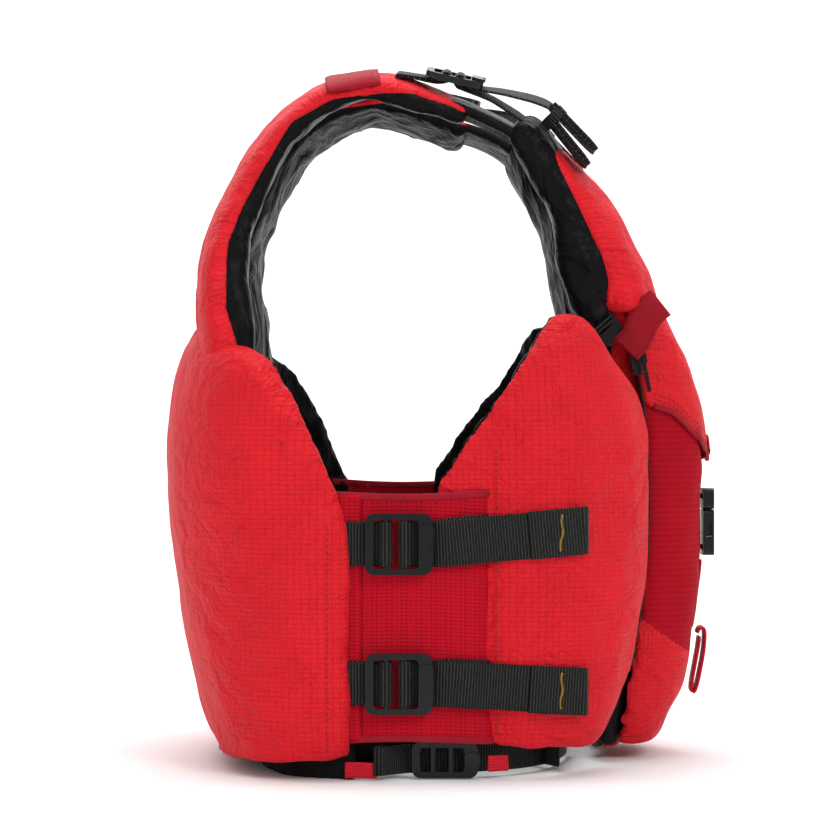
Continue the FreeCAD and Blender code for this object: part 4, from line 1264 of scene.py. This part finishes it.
def waist():
    """The waist webbing, the red corner tabs, and the black hem lining between the back panel and the wing."""
    tree = tree_of("waist_webbing")
    centre = Vector((0, -0.02, box_mid("waist_webbing")[2].z))
    strands = []
    for side in SIDES:
        s = side_of(side)
        path = []
        for i in range(25):
            angle = radians(-66 + 136 * i / 24)
            ray = Vector((s * cos(angle), -sin(angle), 0))
            hit = cast(tree, centre + ray * 0.4, -ray)
            if hit is not None:
                path.append(hit - ray * 0.9 * MM)
        strands.append(ribbon("web", path, (0, 0, 1), 20 * MM, 1.6 * MM, step=4 * MM))
    place(joined("waist_web", *strands), "jacket", "black_webbing", "waist_webbing")
    soft_copy("corner_loops", "corner_tabs", "red_webbing", torso_run)

    for side in SIDES:
        s = side_of(side)

        def hem(u, v):
            y = 0.080 - 0.102 * u
            wavy = wobble(y * 60, v * 3, 8 + s) * 1.2 * MM
            return Vector((s * (0.155 - 6 * MM * sin(pi * v) + wavy), y, 0.004 + 0.031 * v)), Vector((s, 0, 0))

        lining, _, _ = patch(f"hem_lining_{side}", hem, 1.2 * MM, "lining", 30, 8)
        place(lining, "jacket", "lining")


waist()


# ---- CAD nodes that stay ----

LOCK_BEVEL, OTHER_BEVEL = 1.1 * MM, 0.5 * MM


def dress(node, slot):
    """Gives a CAD node its material and softly rounded edges."""
    obj = NODE[node]
    if not obj.data.uv_layers.get("run"):
        lay_uv(obj.data, torso_run)
    obj.data.materials.clear()
    obj.data.materials.append(MAT[slot])
    weld = obj.modifiers.new("weld", "WELD")
    weld.merge_threshold = WELD
    rounded(obj, LOCK_BEVEL if "lock" in node else OTHER_BEVEL, 3, 32)
    smooth = obj.modifiers.new("normals", "WEIGHTED_NORMAL")
    smooth.keep_sharp = False
    shade_smooth(obj.data)


SLOT_OF = {row["node"]: row["material_slot"] for row in frame["record"]["subparts"]}
REPLACED = {node for obj in SCENE.objects for node in obj.get("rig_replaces", [])}
for node_name in sorted(NODE):
    if node_name not in REPLACED:
        dress(node_name, SLOT_OF[node_name])


# ---- stage ----

FLOOR_REACH = 6.0
CAMERA_AT, CAMERA_LENS, CAMERA_SENSOR = (-2.2, 0.0195, 0.2535), 128, 36
WALL_AIM, JACKET_AIM = (3.2, 0, 0.4), (0, 0, 0.25)


def stage():
    """A pale floor that curves up into a wall, soft lights, and the camera at the wearer's right."""
    radius, reach = 1.2, 1.6
    profile = [(-FLOOR_REACH, 0.0), (reach, 0.0)]
    profile += [(reach + radius * sin(a), radius - radius * cos(a)) for a in np.linspace(0.1, pi / 2, 12)]
    profile.append((reach + radius, FLOOR_REACH))
    verts = [(x, y, z - 0.0005) for x, z in profile for y in (-FLOOR_REACH, FLOOR_REACH)]
    faces = [(2 * i, 2 * i + 2, 2 * i + 3, 2 * i + 1) for i in range(len(profile) - 1)]
    floor = bpy.data.objects.new("floor", mesh_from("floor", verts, faces))
    SCENE.collection.objects.link(floor)
    pale = Shader("pale_floor", (0.88, 0.88, 0.88), 0.8, 0.1)
    # the wall is clear from behind, so that it doesn't hide the object from a camera on the far side
    behind = pale.node("ShaderNodeNewGeometry").outputs["Backfacing"]
    through = pale.node("ShaderNodeBsdfTransparent").outputs[0]
    either = pale.node("ShaderNodeMixShader", {0: behind, 1: pale.bsdf.outputs[0], 2: through}).outputs[0]
    pale.tree.links.new(either, pale.tree.nodes["Material Output"].inputs["Surface"])
    floor.data.materials.append(pale.mat)

    world = bpy.data.worlds.new("studio")
    world.use_nodes = True
    background = world.node_tree.nodes["Background"]
    background.inputs["Color"].default_value = (1, 1, 1, 1)
    background.inputs["Strength"].default_value = 0.5
    SCENE.world = world
    lamps = [("key", (-2.4, -1.4, 2.0), 1.3, 36), ("fill", (-2.4, 1.8, 0.9), 1.5, 12), ("top", (0, 0, 2.6), 1.6, 22),
             ("back", (1.6, 1.0, 1.8), 1.6, 10), ("wall", (0.9, 0, 3.4), 3.0, 90)]
    for name, spot, size, power in lamps:
        data = bpy.data.lights.new(name, "AREA")
        data.size = size
        data.energy = power
        lamp = bpy.data.objects.new(name, data)
        lamp.location = spot
        aim = Vector(WALL_AIM if name == "wall" else JACKET_AIM) - Vector(spot)
        lamp.rotation_euler = aim.to_track_quat("-Z", "Y").to_euler()
        SCENE.collection.objects.link(lamp)

    camera = bpy.data.cameras.new("camera")
    camera.lens = CAMERA_LENS
    camera.sensor_width = CAMERA_SENSOR
    holder = bpy.data.objects.new("camera", camera)
    holder.location = CAMERA_AT
    holder.rotation_euler = (pi / 2, 0, -pi / 2)
    SCENE.collection.objects.link(holder)
    SCENE.camera = holder
    SCENE.view_settings.view_transform = "Standard"


stage()
